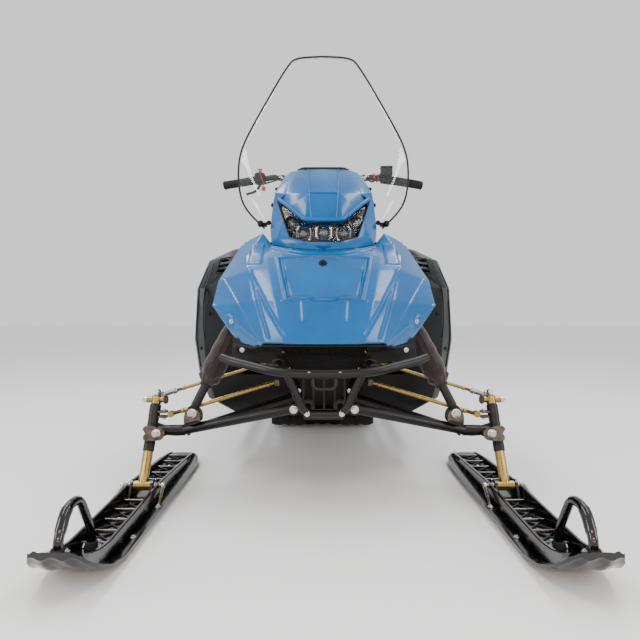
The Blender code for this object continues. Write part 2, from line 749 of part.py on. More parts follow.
# Half of the hood, lip to rear edge. Columns of each point: half width, station, height; the
# points run from the middle over the lid's edge, the inner ridge, the outer ridge and the
# cheek's crease to the outer edge.
HOOD_ROWS = (
    ((0.0, -0.176, 0.486), (0.080, -0.172, 0.486), (0.108, -0.169, 0.487),
     (0.160, -0.156, 0.488), (0.180, -0.132, 0.474), (0.264, -0.040, 0.480)),
    ((0.0, -0.082, 0.606), (0.098, -0.076, 0.605), (0.138, -0.074, 0.603),
     (0.205, -0.048, 0.601), (0.258, -0.014, 0.592), (0.334, 0.022, 0.588)),
    ((0.0, 0.022, 0.694), (0.118, 0.028, 0.695), (0.163, 0.038, 0.695),
     (0.232, 0.064, 0.694), (0.300, 0.096, 0.672), (0.330, 0.118, 0.664)),
    ((0.0, 0.078, 0.738), (0.130, 0.090, 0.738), (0.1765, 0.116, 0.742),
     (0.248, 0.158, 0.746), (0.284, 0.192, 0.736), (0.308, 0.214, 0.728)),
    ((0.0, 0.102, 0.757), (0.104, 0.132, 0.768), (0.168, 0.198, 0.785),
     (0.200, 0.224, 0.826), (0.246, 0.252, 0.808), (0.280, 0.264, 0.786)),
)
# The lid between the hood's second and fourth rows. Columns: share of the way from the
# second row to the third or from the third to the fourth, share of the lid edge's half width.
LID_LOW = 0.0
LID_HIGH = 0.86
LID_RISE = 0.004
LID_OVERLAP = 0.002


def lid_grid(rise, spread):
    # Half of the lid: the hood's own middle strip, moved outward and widened by the spread.
    second, third, fourth = HOOD_ROWS[1:4]
    rows = []
    for low, high, share in ((second, third, LID_LOW), (second, third, 0.5), (second, third, 1.0),
                             (third, fourth, LID_HIGH)):
        middle = at(*low[0]).lerp(at(*high[0]), share)
        edge = at(*low[1]).lerp(at(*high[1]), share) + Vector((spread, 0, 0))
        slope = (at(*high[0]) - at(*low[0])).normalized()
        outward = Vector((0, -slope.z, slope.y)) * rise
        rows.append([middle + outward, edge + outward])
    return rows


def build_hood():
    rows = [[at(*point) for point in row] for row in HOOD_ROWS]
    main = shell("hood", rows, SHELL_WALL, "blue_gloss_shell", both_halves=True)
    lid = shell("lid", lid_grid(LID_RISE, 0.0), LID_RISE + LID_OVERLAP, "blue_gloss_shell",
                both_halves=True)
    return fuse(main, lid)


# The headlight pod, bottom to top. Columns: height, then half width and station of the front
# middle, the front corner and the side corner, and the rear corner's half width and station.
POD_LEVELS = (
    ((0.0, 0.1025, 0.7576), (0.104, 0.1325, 0.7686), (0.1675, 0.1990, 0.7858),
     (0.178, 0.260, 0.802), (0.150, 0.400, 0.802)),
    ((0.0, 0.110, 0.786), (0.060, 0.116, 0.787), (0.150, 0.176, 0.806),
     (0.178, 0.250, 0.846), (0.152, 0.405, 0.850)),
    ((0.0, 0.118, 0.850), (0.060, 0.124, 0.850), (0.120, 0.172, 0.885),
     (0.168, 0.246, 0.930), (0.154, 0.408, 0.930)),
    ((0.0, 0.178, 0.952), (0.052, 0.182, 0.952), (0.122, 0.218, 0.955),
     (0.162, 0.256, 0.966), (0.150, 0.405, 0.980)),
    ((0.0, 0.330, 1.062), (0.072, 0.334, 1.062), (0.112, 0.346, 1.056),
     (0.136, 0.360, 1.044), (0.134, 0.392, 1.046)),
)
# Half of the lamp opening, seen from the front. Columns: half width, height.
LAMP_OPENING = ((0.0, 0.787), (0.048, 0.788), (0.108, 0.806), (0.153, 0.938), (0.118, 0.906),
                (0.062, 0.853), (0.0, 0.851))
LAMP_BACK = 0.262
LAMP_WALL = 0.030
LENS_SETBACK = 0.004        # behind the pod's front
LENS_WALL = 0.003
# Lamps behind the lens. Columns: x, height, radius, front station.
LAMPS = (
    (-0.101, 0.852, 0.017, 0.190), (-0.062, 0.815, 0.018, 0.155), (0.0, 0.815, 0.020, 0.140),
    (0.062, 0.815, 0.018, 0.155), (0.101, 0.852, 0.017, 0.190))


def opening_outline(inset):
    # The opening's outline, each edge drawn in by the inset.
    right = list(LAMP_OPENING)
    outline = right + [(-x, z) for x, z in reversed(right) if x]
    drawn = []
    for before, corner, after in zip(outline[-1:] + outline[:-1], outline, outline[1:] + outline[:1]):
        entering = Vector((corner[0] - before[0], corner[1] - before[1])).normalized()
        leaving = Vector((after[0] - corner[0], after[1] - corner[1])).normalized()
        inward = Vector((-entering.y, entering.x)) + Vector((-leaving.y, leaving.x))
        inward /= max(1.0 + entering.dot(leaving), 0.2)
        drawn.append((corner[0] + inward.x * inset, corner[1] + inward.y * inset))
    return drawn


def grown_copy(source, distance):
    # The same solid with every face moved outward.
    grown = bpy.data.objects.new("grown", source.data.copy())
    PARTS.objects.link(grown)
    step = grown.modifiers.new("Grow", "DISPLACE")
    step.strength = distance
    step.mid_level = 0.0
    return settled(grown)


def pod_body(name, setback=0.0):
    rings = []
    for level in POD_LEVELS:
        right = [at(x, station + setback, z) for x, station, z in level]
        left = [Vector((-p.x, p.y, p.z)) for p in reversed(right[1:])]
        rings.append(right + left)
    body = loft(name, rings, "blue_gloss_shell")
    body.modifiers.new("Facets", "TRIANGULATE")
    return settled(body)


def build_pod():
    body = pod_body("headlight_pod")
    depth = LAMP_BACK + 0.10
    opening = plate("opening", [opening_outline(0.0)], depth, front_plane(LAMP_BACK - depth / 2),
                    "blue_gloss_shell")
    return cut(body, opening)


def build_headlight():
    back = LAMP_BACK - SEAT_GAP
    unit = plate("headlight_unit", [opening_outline(0.0012)], LAMP_WALL,
                 front_plane(back - LAMP_WALL / 2), "black_gloss_plastic")
    barrels = [rod("barrel", at(x, back - LAMP_WALL / 2, z), at(x, front, z), 2 * r,
                   "black_gloss_plastic", 14) for x, z, r, front in LAMPS]
    return fuse(unit, *barrels)


def build_lens():
    # The part of a sheet behind the pod's front that lies within the lamp opening.
    back = LAMP_BACK - LAMP_WALL - SEAM
    opening = plate("headlight_lens", [opening_outline(SEAM)], back, front_plane(back / 2), "clear_plastic")
    front = pod_body("front", LENS_SETBACK)
    lens = combined("INTERSECT", opening, [front])
    return cut(lens, pod_body("rear", LENS_SETBACK + LENS_WALL))


def build_instrument_housing():
    # Columns: height, front and rear station, half width.
    levels = ((0.900, 0.4083, 0.452, 0.068), (0.985, 0.4083, 0.462, 0.080), (1.052, 0.4083, 0.466, 0.080),
              (1.072, 0.4120, 0.452, 0.072))
    rings = [[at(-half, front, z), at(half, front, z), at(half, rear, z), at(-half, rear, z)]
             for z, front, rear, half in levels]
    return loft("instrument_housing", rings, "black_plastic")


# Half of the windshield from its lower corner to the middle of its top. Columns: half width,
# station, height. The inner line lies within the pod, to be trimmed to its surface.
WINDSHIELD_INNER = (
    (0.162, 0.290, 0.858), (0.157, 0.300, 0.912), (0.148, 0.312, 0.966), (0.130, 0.366, 1.028),
    (0.112, 0.378, 1.040), (0.080, 0.380, 1.044), (0.050, 0.380, 1.045), (0.030, 0.380, 1.045),
    (0.0, 0.380, 1.045))
WINDSHIELD_OUTER = (
    (0.203, 0.310, 0.853), (0.268, 0.330, 0.917), (0.293, 0.345, 0.974), (0.302, 0.360, 1.062),
    (0.293, 0.385, 1.149), (0.238, 0.420, 1.270), (0.130, 0.485, 1.487), (0.098, 0.498, 1.516),
    (0.0, 0.500, 1.521))


def build_windshield(pod):
    # A strip between the line within the pod and the outer outline, bowed forward.
    grid = []
    for inner, outer in zip(WINDSHIELD_INNER, WINDSHIELD_OUTER):
        row = []
        for step in range(5):
            share = step / 4
            point = at(*inner).lerp(at(*outer), share)
            bow = 0.020 * math.sin(math.pi * share)
            row.append(point - Vector((0, bow, 0)))
        grid.append(row)
    screen = shell("windshield", grid, SCREEN_WALL, "clear_plastic", both_halves=True, flip=True)
    return smooth(cut(screen, grown_copy(pod, SEAM)), 60)


# Side panel, bottom to top. Columns of each point: x, station, height, front edge to rear edge.
PANEL_ROWS = (
    ((0.272, 0.246, 0.3565), (0.401, 0.285, 0.3565), (0.4365, 0.340, 0.3565),
     (0.4365, 0.500, 0.3565), (0.351, 0.735, 0.3565)),
    ((0.282, 0.236, 0.470), (0.404, 0.262, 0.470), (0.450, 0.330, 0.470),
     (0.444, 0.500, 0.470), (0.345, 0.745, 0.470)),
    ((0.322, 0.160, 0.645), (0.392, 0.215, 0.645), (0.436, 0.310, 0.645),
     (0.418, 0.500, 0.645), (0.318, 0.750, 0.640)),
    ((0.300, 0.245, 0.742), (0.352, 0.262, 0.745), (0.396, 0.320, 0.742),
     (0.366, 0.500, 0.735), (0.270, 0.750, 0.730)),
    ((0.272, 0.300, 0.780), (0.292, 0.320, 0.785), (0.322, 0.370, 0.785),
     (0.290, 0.500, 0.780), (0.215, 0.750, 0.775)),
)
# Air intake slots, seen from the front. Columns: inner x, outer x, height, rise outward.
INTAKE_SLOTS = ((0.318, 0.352, 0.700, -0.006), (0.314, 0.350, 0.718, -0.006),
                (0.312, 0.346, 0.736, -0.006))
INTAKE_SLOT_HEIGHT = 0.010


def build_side_panel():
    grid = [[at(*point) for point in row] for row in PANEL_ROWS]
    panel = shell("side_panel_left", grid, SHELL_WALL, "slate_plastic")
    front, back = PANEL_ROWS[2][0][1], PANEL_ROWS[4][1][1]
    slots = []
    for inner, outer, height, rise in INTAKE_SLOTS:
        outline = [(inner, height), (outer, height + rise), (outer, height + rise + INTAKE_SLOT_HEIGHT),
                   (inner, height + INTAKE_SLOT_HEIGHT)]
        slots.append(plate("slot", [outline], back - front, front_plane((front + back) / 2),
                           "slate_plastic"))
    return cut(panel, *slots)


# Half of the console's plan, pod to tank. Columns: half width, station.
CONSOLE_PLAN = ((0.0, 0.4006), (0.1506, 0.4006), (0.180, 0.264), (0.2010, 0.2325), (0.2460, 0.2600),
                (0.2660, 0.2690), (0.2815, 0.375), (0.262, 0.480), (0.212, 0.625))
CONSOLE_LOW = 0.740
CONSOLE_HIGH = 0.8015


def build_console():
    # Black cover between the pod, the side panels and the tank, with the column's bearing boss.
    outline = list(CONSOLE_PLAN) + [(-x, s) for x, s in reversed(CONSOLE_PLAN) if x]
    rings = [[at(x, s, z) for x, s in outline] for z in (CONSOLE_LOW, CONSOLE_HIGH)]
    body = loft("console", rings, "black_plastic")
    foot, _ = column_ends()
    axis = column_axis()
    boss = rod("boss", foot - axis * 0.050, foot - axis * SEAT_GAP, COLUMN_DIAMETER * 1.5,
               "black_plastic", 16)
    return fuse(body, boss)


def column_axis():
    return Vector((0, math.sin(STEER_RAKE), math.cos(STEER_RAKE)))


def column_ends():
    head = at(0, *STEER_HEAD)
    return head - column_axis() * COLUMN_LENGTH, head


# The tank, bottom to top. Columns: height, half width, front and rear station, the last two
# as distances in from the tank's ends.
TANK_LEVELS = ((TUNNEL_HIGH + 2 * SEAT_GAP, 0.150, 0.020, 0.010), (0.640, 0.190, 0.005, 0.002),
               (0.760, 0.200, 0.0, 0.0), (0.835, 0.175, 0.015, 0.010), (0.862, 0.120, 0.045, 0.035))
TANK_CORNER = 0.05
CAP_STATION = 0.800
# The filler neck and its cap. Columns: radius, height above the tank's top.
CAP_STEPS = ((0.036, 0.008), (0.044, 0.030), (0.038, 0.036))


def build_tank():
    rings = []
    for z, half, front_inset, back_inset in TANK_LEVELS:
        front, back = TANK_FRONT + front_inset, TANK_BACK - back_inset
        right = [(half - TANK_CORNER, front), (half, front + TANK_CORNER),
                 (half, back - TANK_CORNER), (half - TANK_CORNER, back)]
        outline = right + [(-x, s) for x, s in reversed(right)]
        rings.append([at(x, s, z) for x, s in outline])
    tank = loft("fuel_tank", rings, "black_plastic")
    top = TANK_LEVELS[-1][0]
    low = -0.004
    steps = []
    for radius, rise in CAP_STEPS:
        steps.append(rod("cap", at(0, CAP_STATION, top + low), at(0, CAP_STATION, top + rise), 2 * radius,
                         "black_plastic", 18))
        low = rise - 0.004 if len(steps) < 2 else rise - 0.002
    return smooth(fuse(tank, *steps))


# The cushion, front to rear. Columns: station behind the tank, share of the half width, rise
# of the middle above the cushion's base.
SEAT_SECTIONS = ((0.005, 0.62, 0.195), (0.075, 0.80, 0.185), (0.215, 0.94, 0.170), (0.465, 1.0, 0.172),
                 (0.555, 1.0, 0.205), (0.715, 1.0, 0.215), (0.945, 0.98, 0.210), (1.035, 0.86, 0.185))
# One side of a section, base to middle. Columns: share of the half width, share of the rise.
CUSHION_OUTLINE = ((0.90, 0.0), (1.0, 0.18), (0.98, 0.72), (0.70, 0.96), (0.0, 1.0))
# The base's plan. Columns: station behind the tank, share of the half width.
SEAT_BASE_PLAN = ((0.005, 0.60), (0.215, 0.92), (1.031, 0.92))
SEAT_BASE_FOOT = 0.86       # share of the base's width at its foot


def build_seat():
    base_low = TUNNEL_HIGH + SEAT_GAP
    base_high = TUNNEL_HIGH + SEAT_BASE_RISE
    rings = []
    for behind, share, rise in SEAT_SECTIONS:
        half = SEAT_WIDTH / 2 * share
        right = [(half * out, rise * up) for out, up in CUSHION_OUTLINE]
        left = [(-x, z) for x, z in reversed(right[:-1])]
        rings.append([at(x, TANK_BACK + behind, base_high + SEAT_GAP + z) for x, z in right + left])
    cushion = smooth(loft("seat_cushion", rings, "seat_vinyl"))
    base_rings = []
    for behind, share in SEAT_BASE_PLAN:
        half = SEAT_WIDTH / 2 * share
        foot = half * SEAT_BASE_FOOT
        station = TANK_BACK + behind
        base_rings.append([at(-foot, station, base_low), at(foot, station, base_low),
                           at(half, station, base_high), at(-half, station, base_high)])
    return cushion, loft("seat_base", base_rings, "black_plastic")


def tunnel_half():
    return TRACK_WIDTH / 2 + TRACK_CLEARANCE


def build_tunnel():
    inner = tunnel_half()
    outer = inner + TUNNEL_WALL
    chamfer = 0.030
    section = [(outer, TUNNEL_LOW), (outer, TUNNEL_HIGH - chamfer), (outer - chamfer, TUNNEL_HIGH)]
    inside = [(inner - chamfer, TUNNEL_HIGH - TUNNEL_WALL), (inner, TUNNEL_HIGH - chamfer - TUNNEL_WALL / 2),
              (inner, TUNNEL_LOW)]
    profile = section + [(-x, z) for x, z in reversed(section)]
    profile += [(-x, z) for x, z in reversed(inside)] + inside
    return loft("tunnel", [[at(x, s, z) for x, z in profile] for s in (TUNNEL_FRONT, TUNNEL_BACK)],
                "alloy_sheet")


def build_board():
    # Perforated sheet with a rolled outer lip, hung on the tunnel's lower edge.
    inner = tunnel_half() + TUNNEL_WALL + SEAT_GAP
    outer = inner + BOARD_WIDTH
    outline = [(inner, BOARD_FRONT), (outer - 0.03, BOARD_FRONT), (outer, BOARD_FRONT + 0.04),
               (outer, BOARD_BACK - 0.10), (outer - 0.08, BOARD_BACK), (inner, BOARD_BACK)]
    holes = []
    rows = 11
    pitch = (BOARD_BACK - BOARD_FRONT - 0.16) / rows
    for row in range(rows):
        for column in range(2):
            middle = (inner + BOARD_WIDTH * (0.30 + 0.36 * column), BOARD_FRONT + 0.05 + (row + 0.5) * pitch)
            holes.append([(middle[0] + 0.025 * math.cos(a), middle[1] + pitch * 0.37 * math.sin(a))
                          for a in [math.pi * i / 3 for i in range(6)]])
    height = TUNNEL_LOW + BOARD_WALL
    sheet = plate("running_board_left", [outline] + holes, BOARD_WALL, level_plane(height), "alloy_sheet")
    lip_height = height + BOARD_WALL
    lip = tube("lip", [at(outer, BOARD_FRONT + 0.05, lip_height), at(outer, BOARD_BACK - 0.11, lip_height)],
               BOARD_LIP_DIAMETER, "alloy_sheet")
    return fuse(sheet, lip)


def belt_circles():
    # Station, height and radius of the wheels that the belt's inner face wraps.
    base = LUG_HEIGHT + BELT_WALL
    return (
        (SPROCKET[0], SPROCKET[1], SPROCKET_RADIUS),
        (RAIL_NOSE[0], base + RAIL_NOSE[1], RAIL_NOSE[1]),
        (IDLER[0], base + IDLER[1], IDLER[1]),
    )


def belt_line():
    # Points and outward directions along the belt's inner face, at even distances: arcs about
    # the wheels joined by their outer tangents, run from the sprocket under to the idler.
    circles = belt_circles()
    corners = []
    for (s1, z1, r1), (s2, z2, r2) in zip(circles, circles[1:] + circles[:1]):
        run = math.atan2(z2 - z1, s2 - s1)
        gap = math.hypot(s2 - s1, z2 - z1)
        corners.append(run - math.pi / 2 + math.asin((r1 - r2) / gap) * -1.0)
    dense = []
    for i, (s, z, r) in enumerate(circles):
        begin = corners[i - 1]
        end = corners[i]
        while end < begin:
            end += 2 * math.pi
        for k in range(25):
            a = begin + (end - begin) * k / 24
            dense.append((s + r * math.cos(a), z + r * math.sin(a)))
    lengths = [0.0]
    for (s1, z1), (s2, z2) in zip(dense, dense[1:] + dense[:1]):
        lengths.append(lengths[-1] + math.hypot(s2 - s1, z2 - z1))
    total = lengths[-1]
    closed = dense + dense[:1]

    def point(distance):
        distance %= total
        for i in range(len(dense)):
            if lengths[i] <= distance <= lengths[i + 1]:
                t = (distance - lengths[i]) / max(lengths[i + 1] - lengths[i], 1e-9)
                a, b = closed[i], closed[i + 1]
                return a[0] + (b[0] - a[0]) * t, a[1] + (b[1] - a[1]) * t
        return dense[0]

    return point, total, lengths[:-1]


def wrapped_radius(radius):
    # Largest wheel inside the belt's faceted turn.
    return radius * math.cos(math.pi / 48) - SEAT_GAP


def build_track():
    # The belt is a loop of the wall's thickness; rows of one middle paddle and rows of two
    # side paddles stand on it in turn.
    point, total, stops = belt_line()
    pairs = round(total / LUG_PITCH / 2)

    def place(distance, out, x):
        s, z = point(distance)
        s1, z1 = point(distance - 0.004)
        s2, z2 = point(distance + 0.004)
        run = math.hypot(s2 - s1, z2 - z1)
        normal = ((z2 - z1) / run, -(s2 - s1) / run)
        return at(x, s + normal[0] * out, z + normal[1] * out)

    half = TRACK_WIDTH / 2
    rings = []
    for d in stops:
        rings.append([place(d, 0.0, -half), place(d, 0.0, half), place(d, BELT_WALL, half),
                      place(d, BELT_WALL, -half)])
    belt = loft("track", rings, "rubber", closed=True)
    bm = bmesh.new()
    # Paddle columns: middle share of the width, width share, offset in pairs of rows.
    for share, width, offset in ((-0.32, 0.32, 0.5), (0.0, 0.42, 0.0), (0.32, 0.32, 0.5)):
        for i in range(pairs):
            d = (i + offset) * total / pairs
            low = [(-0.008, BELT_WALL - 0.002), (0.008, BELT_WALL - 0.002)]
            high = [(0.004, BELT_WALL + LUG_HEIGHT), (-0.004, BELT_WALL + LUG_HEIGHT)]
            faces = []
            for x in (share - width / 2, share + width / 2):
                s, z = point(d)
                base = place(d, 0.0, x * TRACK_WIDTH)
                out = (place(d, 1.0, x * TRACK_WIDTH) - base)
                along = Vector((0, -out.z, out.y))
                faces.append([bm.verts.new(base + along * u + out * v) for u, v in low + high])
            for k in range(4):
                j = (k + 1) % 4
                bm.faces.new((faces[0][k], faces[0][j], faces[1][j], faces[1][k]))
            bm.faces.new(list(reversed(faces[0])))
            bm.faces.new(faces[1])
    paddles = solid("paddles", bm, "rubber")
    return fuse(belt, paddles)


def wheel(x, station, height, radius, width, finish):
    return rod("wheel", at(x - width / 2, station, height), at(x + width / 2, station, height),
               2 * radius, finish, 24)


def build_drive_axle():
    s, z = SPROCKET
    half = tunnel_half() - SEAT_GAP
    axle = rod("drive_axle", at(-half, s, z), at(half, s, z), AXLE_DIAMETER, "alloy_sheet", 12)
    radius = wrapped_radius(SPROCKET_RADIUS)
    return fuse(axle, *[wheel(x, s, z, radius, 0.030, "black_plastic") for x in (-0.130, 0.130)])


def rail_low():
    return LUG_HEIGHT + BELT_WALL + SEAT_GAP


def build_rails():
    # Two rails with upturned noses, joined by cross tubes.
    low = rail_low()
    high = low + RAIL_HEIGHT
    nose = RAIL_NOSE[0]
    radius = wrapped_radius(RAIL_NOSE[1]) - 0.001
    back = IDLER[0] - 0.060
    rails = []
    for side in (-1, 1):
        curve = [(nose - radius * math.sin(a), low + radius * (1 - math.cos(a)))
                 for a in [math.radians(55) * i / 6 for i in range(7)]]
        inner = [(curve[-1][0] + 0.030, curve[-1][1] + 0.018), (nose - 0.020, high), (back, high)]
        outline = [(back, low)] + curve + inner
        rails.append(plate("slide_rails", [outline], RAIL_WALL, side_plane(side * RAIL_SPREAD / 2),
                           "alloy_sheet"))
    half = RAIL_SPREAD / 2
    ties = [rod("tie", at(-half, s, low + 0.025), at(half, s, low + 0.025), 0.020, "alloy_sheet", 10)
            for s in (nose + 0.12, nose + 0.55, back - 0.10)]
    return fuse(rails[0], rails[1], *ties)


def build_wheel_set(name, station, height, radius, xs, reach):
    axle = rod(name, at(-reach, station, height), at(reach, station, height), AXLE_DIAMETER * 0.8,
               "alloy_sheet", 10)
    return fuse(axle, *[wheel(x, station, height, radius, 0.024, "black_plastic") for x in xs])


BOGIE_STATIONS = (1.42, 1.90)
SKID_BAR_DIAMETER = 0.026
SKID_PLATE = (0.005, 0.060, 0.090)      # wall, width and height of the tunnel plates
# Columns: name, station of the foot on the rails, station and height of the top bar.
SKID_ARMS = (("skid_arm_front", 1.28, 1.00, 0.325), ("skid_arm_rear", 2.06, 1.72, 0.270))


def build_skid_parts():
    # Wheels on their axles, arms up to the tunnel's sides, and the two skid shocks.
    half = tunnel_half() - SEAT_GAP
    made = []
    inner_face = LUG_HEIGHT + BELT_WALL
    idler_height = inner_face + IDLER[1]
    rail_top = rail_low() + RAIL_HEIGHT + SEAT_GAP
    axle_radius = AXLE_DIAMETER * 0.4
    made.append(build_wheel_set("rear_idler_wheels", IDLER[0], idler_height, wrapped_radius(IDLER[1]),
                                (-0.16, 0.0, 0.16), 0.20))
    for letter, station in zip("ab", BOGIE_STATIONS):
        height = max(rail_top + axle_radius, inner_face + BOGIE_RADIUS + SEAT_GAP)
        made.append(build_wheel_set("bogie_wheels_" + letter, station, height, BOGIE_RADIUS,
                                    (-0.155, 0.155), 0.175))
    for name, low_s, top_s, top_z in SKID_ARMS:
        spread = RAIL_SPREAD / 2 + RAIL_WALL / 2 + 0.012
        low_z = rail_top + 0.014
        bars = [rod("bar", at(side * spread * 0.7, low_s, low_z), at(side * spread * 1.5, top_s, top_z),
                    SKID_BAR_DIAMETER * 0.85, "black_painted_steel", 10) for side in (-1, 1)]
        top_bar = rod(name, at(-half, top_s, top_z), at(half, top_s, top_z), SKID_BAR_DIAMETER,
                      "black_painted_steel", 10)
        low_bar = rod("low", at(-spread, low_s, low_z), at(spread, low_s, low_z), SKID_BAR_DIAMETER,
                      "black_painted_steel", 10)
        wall, width, height = SKID_PLATE
        plates = [block("plate", SKID_PLATE, at(side * (half - wall / 2), top_s, top_z + height * 0.28),
                        "black_painted_steel") for side in (-1, 1)]
        made.append(fuse(top_bar, low_bar, *bars, *plates))
    return made


def build_rack():
    half = RACK_WIDTH / 2
    z = RACK_HEIGHT
    loop = tube("cargo_rack", [
        at(-half + 0.03, RACK_FRONT, z), at(-half, RACK_FRONT + 0.04, z), at(-half, RACK_BACK, z),
        at(half, RACK_BACK, z), at(half, RACK_FRONT + 0.04, z), at(half - 0.03, RACK_FRONT, z)],
        RACK_DIAMETER, "black_painted_steel", radius=0.05)
    bars = [tube("bar", [at(-half, s, z), at(half, s, z)], RACK_DIAMETER * 0.8, "black_painted_steel")
            for s in (RACK_FRONT + RACK_LENGTH * share for share in (0.10, 0.41, 0.70))]
    foot = TUNNEL_HIGH + SEAT_GAP
    feet = [rod("leg", at(side * (half - 0.012), s, z), at(side * (half - 0.012), s, foot),
                RACK_DIAMETER * 0.8, "black_painted_steel", 10)
            for side in (-1, 1) for s in (RACK_FRONT + 0.08, RACK_BACK - 0.06)]
    return fuse(loop, *bars, *feet)


def build_tail():
    half = tunnel_half() + TUNNEL_WALL + SEAT_GAP
    pipe = REAR_BUMPER_DIAMETER
    x = half + pipe / 2
    back = TUNNEL_BACK + 0.066
    bumper = tube("rear_bumper", [
        at(-x, REAR_BUMPER_FRONT, HITCH_HEIGHT), at(-x, back, HITCH_HEIGHT),
        at(x, back, HITCH_HEIGHT), at(x, REAR_BUMPER_FRONT, HITCH_HEIGHT)],
        pipe, "black_painted_steel", radius=0.06)
    wide, deep, wall = TONGUE
    tongues = [block("tongue", TONGUE, at(0, back + deep / 2 - 0.002, HITCH_HEIGHT + 0.006 - drop),
                     "black_painted_steel") for drop in (0.0, TONGUE_GAP + wall)]
    web = block("web", (wide, 0.016, TONGUE_GAP + 2 * wall),
                at(0, back + 0.006, HITCH_HEIGHT + 0.006 - (TONGUE_GAP + wall) / 2), "black_painted_steel")
    bumper = fuse(bumper, web, *tongues)
    top = TUNNEL_HIGH - TUNNEL_WALL - SEAT_GAP
    thick = FLAP_WALL
    line = ((TUNNEL_BACK - 0.030, top), (TUNNEL_BACK - 0.020, 0.330), (TAIL_REACH - 0.060, 0.200),
            (TAIL_REACH, 0.110))
    rings = []
    for s, z in line:
        rings.append([at(-FLAP_WIDTH / 2, s - thick, z), at(FLAP_WIDTH / 2, s - thick, z),
                      at(FLAP_WIDTH / 2, s, z), at(-FLAP_WIDTH / 2, s, z)])
    flap = loft("snow_flap", rings, "rubber")
    lamp = block("tail_lamp", (0.220, 0.030, 0.040),
                 at(0, TUNNEL_BACK - 0.018, TUNNEL_HIGH + SEAT_GAP + 0.020), "red_plastic", bevel=0.006)
    return bumper, flap, lamp


# The bar's left half from its middle outward. Columns: x, station, height.
BAR_LINE = ((0.075, 0.575, 1.052), (0.165, 0.570, 1.090), (BAR_WIDTH / 2, 0.605, 1.062))
CONTROL_DIAMETER = 0.036
CONTROL_LENGTH = 0.036
CONTROL_OFFSET = 0.024      # from the grip's inner end to the control's middle
LEVER_DIAMETER = 0.011
# The brake lever and the thumb lever. Columns: inward along the bar, rearward, upward.
LEVER_LINE = ((0.0, -0.030, 0.0), (-0.030, -0.052, 0.0), (-0.130, -0.050, 0.0))
THUMB_LINE = ((0.0, 0.006, -0.018), (-0.020, 0.020, -0.040), (-0.060, 0.022, -0.044))
RESERVOIR = (0.044, 0.040, 0.034)
SWITCH_CASE = (0.040, 0.044, 0.042)


def build_steering():
    foot, head = column_ends()
    axis = column_axis()
    half_line = [at(*point) for point in BAR_LINE]
    mirrored_line = [Vector((-p.x, p.y, p.z)) for p in reversed(half_line)]
    bar = tube("handlebar", mirrored_line + half_line, BAR_DIAMETER, "black_painted_steel", radius=0.035)
    column = rod("column", foot, head, COLUMN_DIAMETER, "black_painted_steel", 16)
    clamp = block("clamp", (0.110, 0.050, 0.050), head, "black_painted_steel",
                  turn=axis.to_track_quat("Z", "Y"), bevel=0.006)
    pieces = [fuse(bar, column, clamp)]
    bore_diameter = BAR_DIAMETER + 2 * SEAT_GAP
    for side, sign in (("left", 1), ("right", -1)):
        flip = Vector((sign, 1, 1))
        inner, outer = half_line[1] * flip, half_line[2] * flip
        run = (inner - outer).normalized()
        start = outer - run * 0.006
        end = start + run * GRIP_LENGTH
        grip = rod("grip_" + side, start, end, GRIP_DIAMETER, "rubber", 14)
        bore = rod("bore", outer - run * SEAT_GAP, end + run * 0.02, bore_diameter, "rubber", 14)
        pieces.append(cut(grip, bore))
        middle = end + run * CONTROL_OFFSET
        reach = run * CONTROL_LENGTH / 2

        def lever_path(line):
            return [middle + run * inward + Vector((0, rearward, up)) for inward, rearward, up in line]

        if side == "left":
            ring = rod("brake_assembly", middle - reach, middle + reach, CONTROL_DIAMETER,
                       "black_plastic", 14)
            reservoir = block("reservoir", RESERVOIR, middle + Vector((0, -0.028, 0.022)),
                              "black_plastic", bevel=0.004)
            lever = tube("lever", lever_path(LEVER_LINE), LEVER_DIAMETER, "black_painted_steel")
            control = fuse(ring, reservoir, lever)
        else:
            ring = rod("throttle_assembly", middle - reach, middle + reach, CONTROL_DIAMETER,
                       "black_plastic", 14)
            case = block("case", SWITCH_CASE, middle - Vector((0, 0.014, 0)), "black_plastic", bevel=0.006)
            thumb = tube("thumb", lever_path(THUMB_LINE), LEVER_DIAMETER * 0.9, "red_plastic")
            control = fuse(ring, case, thumb)
        hole = rod("hole", middle - run * 0.08, middle + run * 0.08, bore_diameter, "black_plastic", 14)
        pieces.append(cut(control, hole))
    return pieces


def main():
    # Front running gear
    ski, handle = build_ski(), build_ski_handle()
    spindle, tie_rod = build_spindle(), build_tie_rod()
    knuckle, arm, link = build_knuckle(), build_lower_arm(), build_upper_link()
    shock, foot, lean, top = build_shock()
    cover = build_shock_cover(foot, lean, top)
    panel, board = build_side_panel(), build_board()
    pairs = {}
    for piece in (ski, handle, spindle, tie_rod, knuckle, arm, link, shock, cover, panel, board):
        right = other_side(piece.name.replace("left", "right"), piece)
        pairs[piece.name] = (piece, right)

    # Chassis and body
    build_front_structure()
    build_bumper()
    build_grille()
    build_belly_pan()
    build_engine()
    build_hood()
    pod = build_pod()
    build_headlight()
    build_lens()
    build_instrument_housing()
    build_windshield(pod)
    build_console()
    build_tank()
    build_seat()
    build_tunnel()
    build_track()
    build_drive_axle()
    build_rails()
    build_skid_parts()
    build_rack()
    build_tail()

    # Moving groups
    steering = axis_empty("steering_axis", column_ends()[1])
    carried(steering, *build_steering())
    for index, (side, sign) in enumerate((("left", 1), ("right", -1))):
        flip = Vector((sign, 1, 1))
        spindle_axis = axis_empty("spindle_axis_" + side, KINGPIN_LOW * flip)
        ski_axis = axis_empty("ski_axis_" + side, KINGPIN_LOW * flip, spindle_axis)
        rod_axis = axis_empty("tie_rod_axis_" + side, tie_rod_joint() * flip, spindle_axis)
        carried(spindle_axis, pairs["spindle_left"][index])
        carried(ski_axis, pairs["ski_left"][index], pairs["ski_handle_left"][index])
        carried(rod_axis, pairs["tie_rod_left"][index])


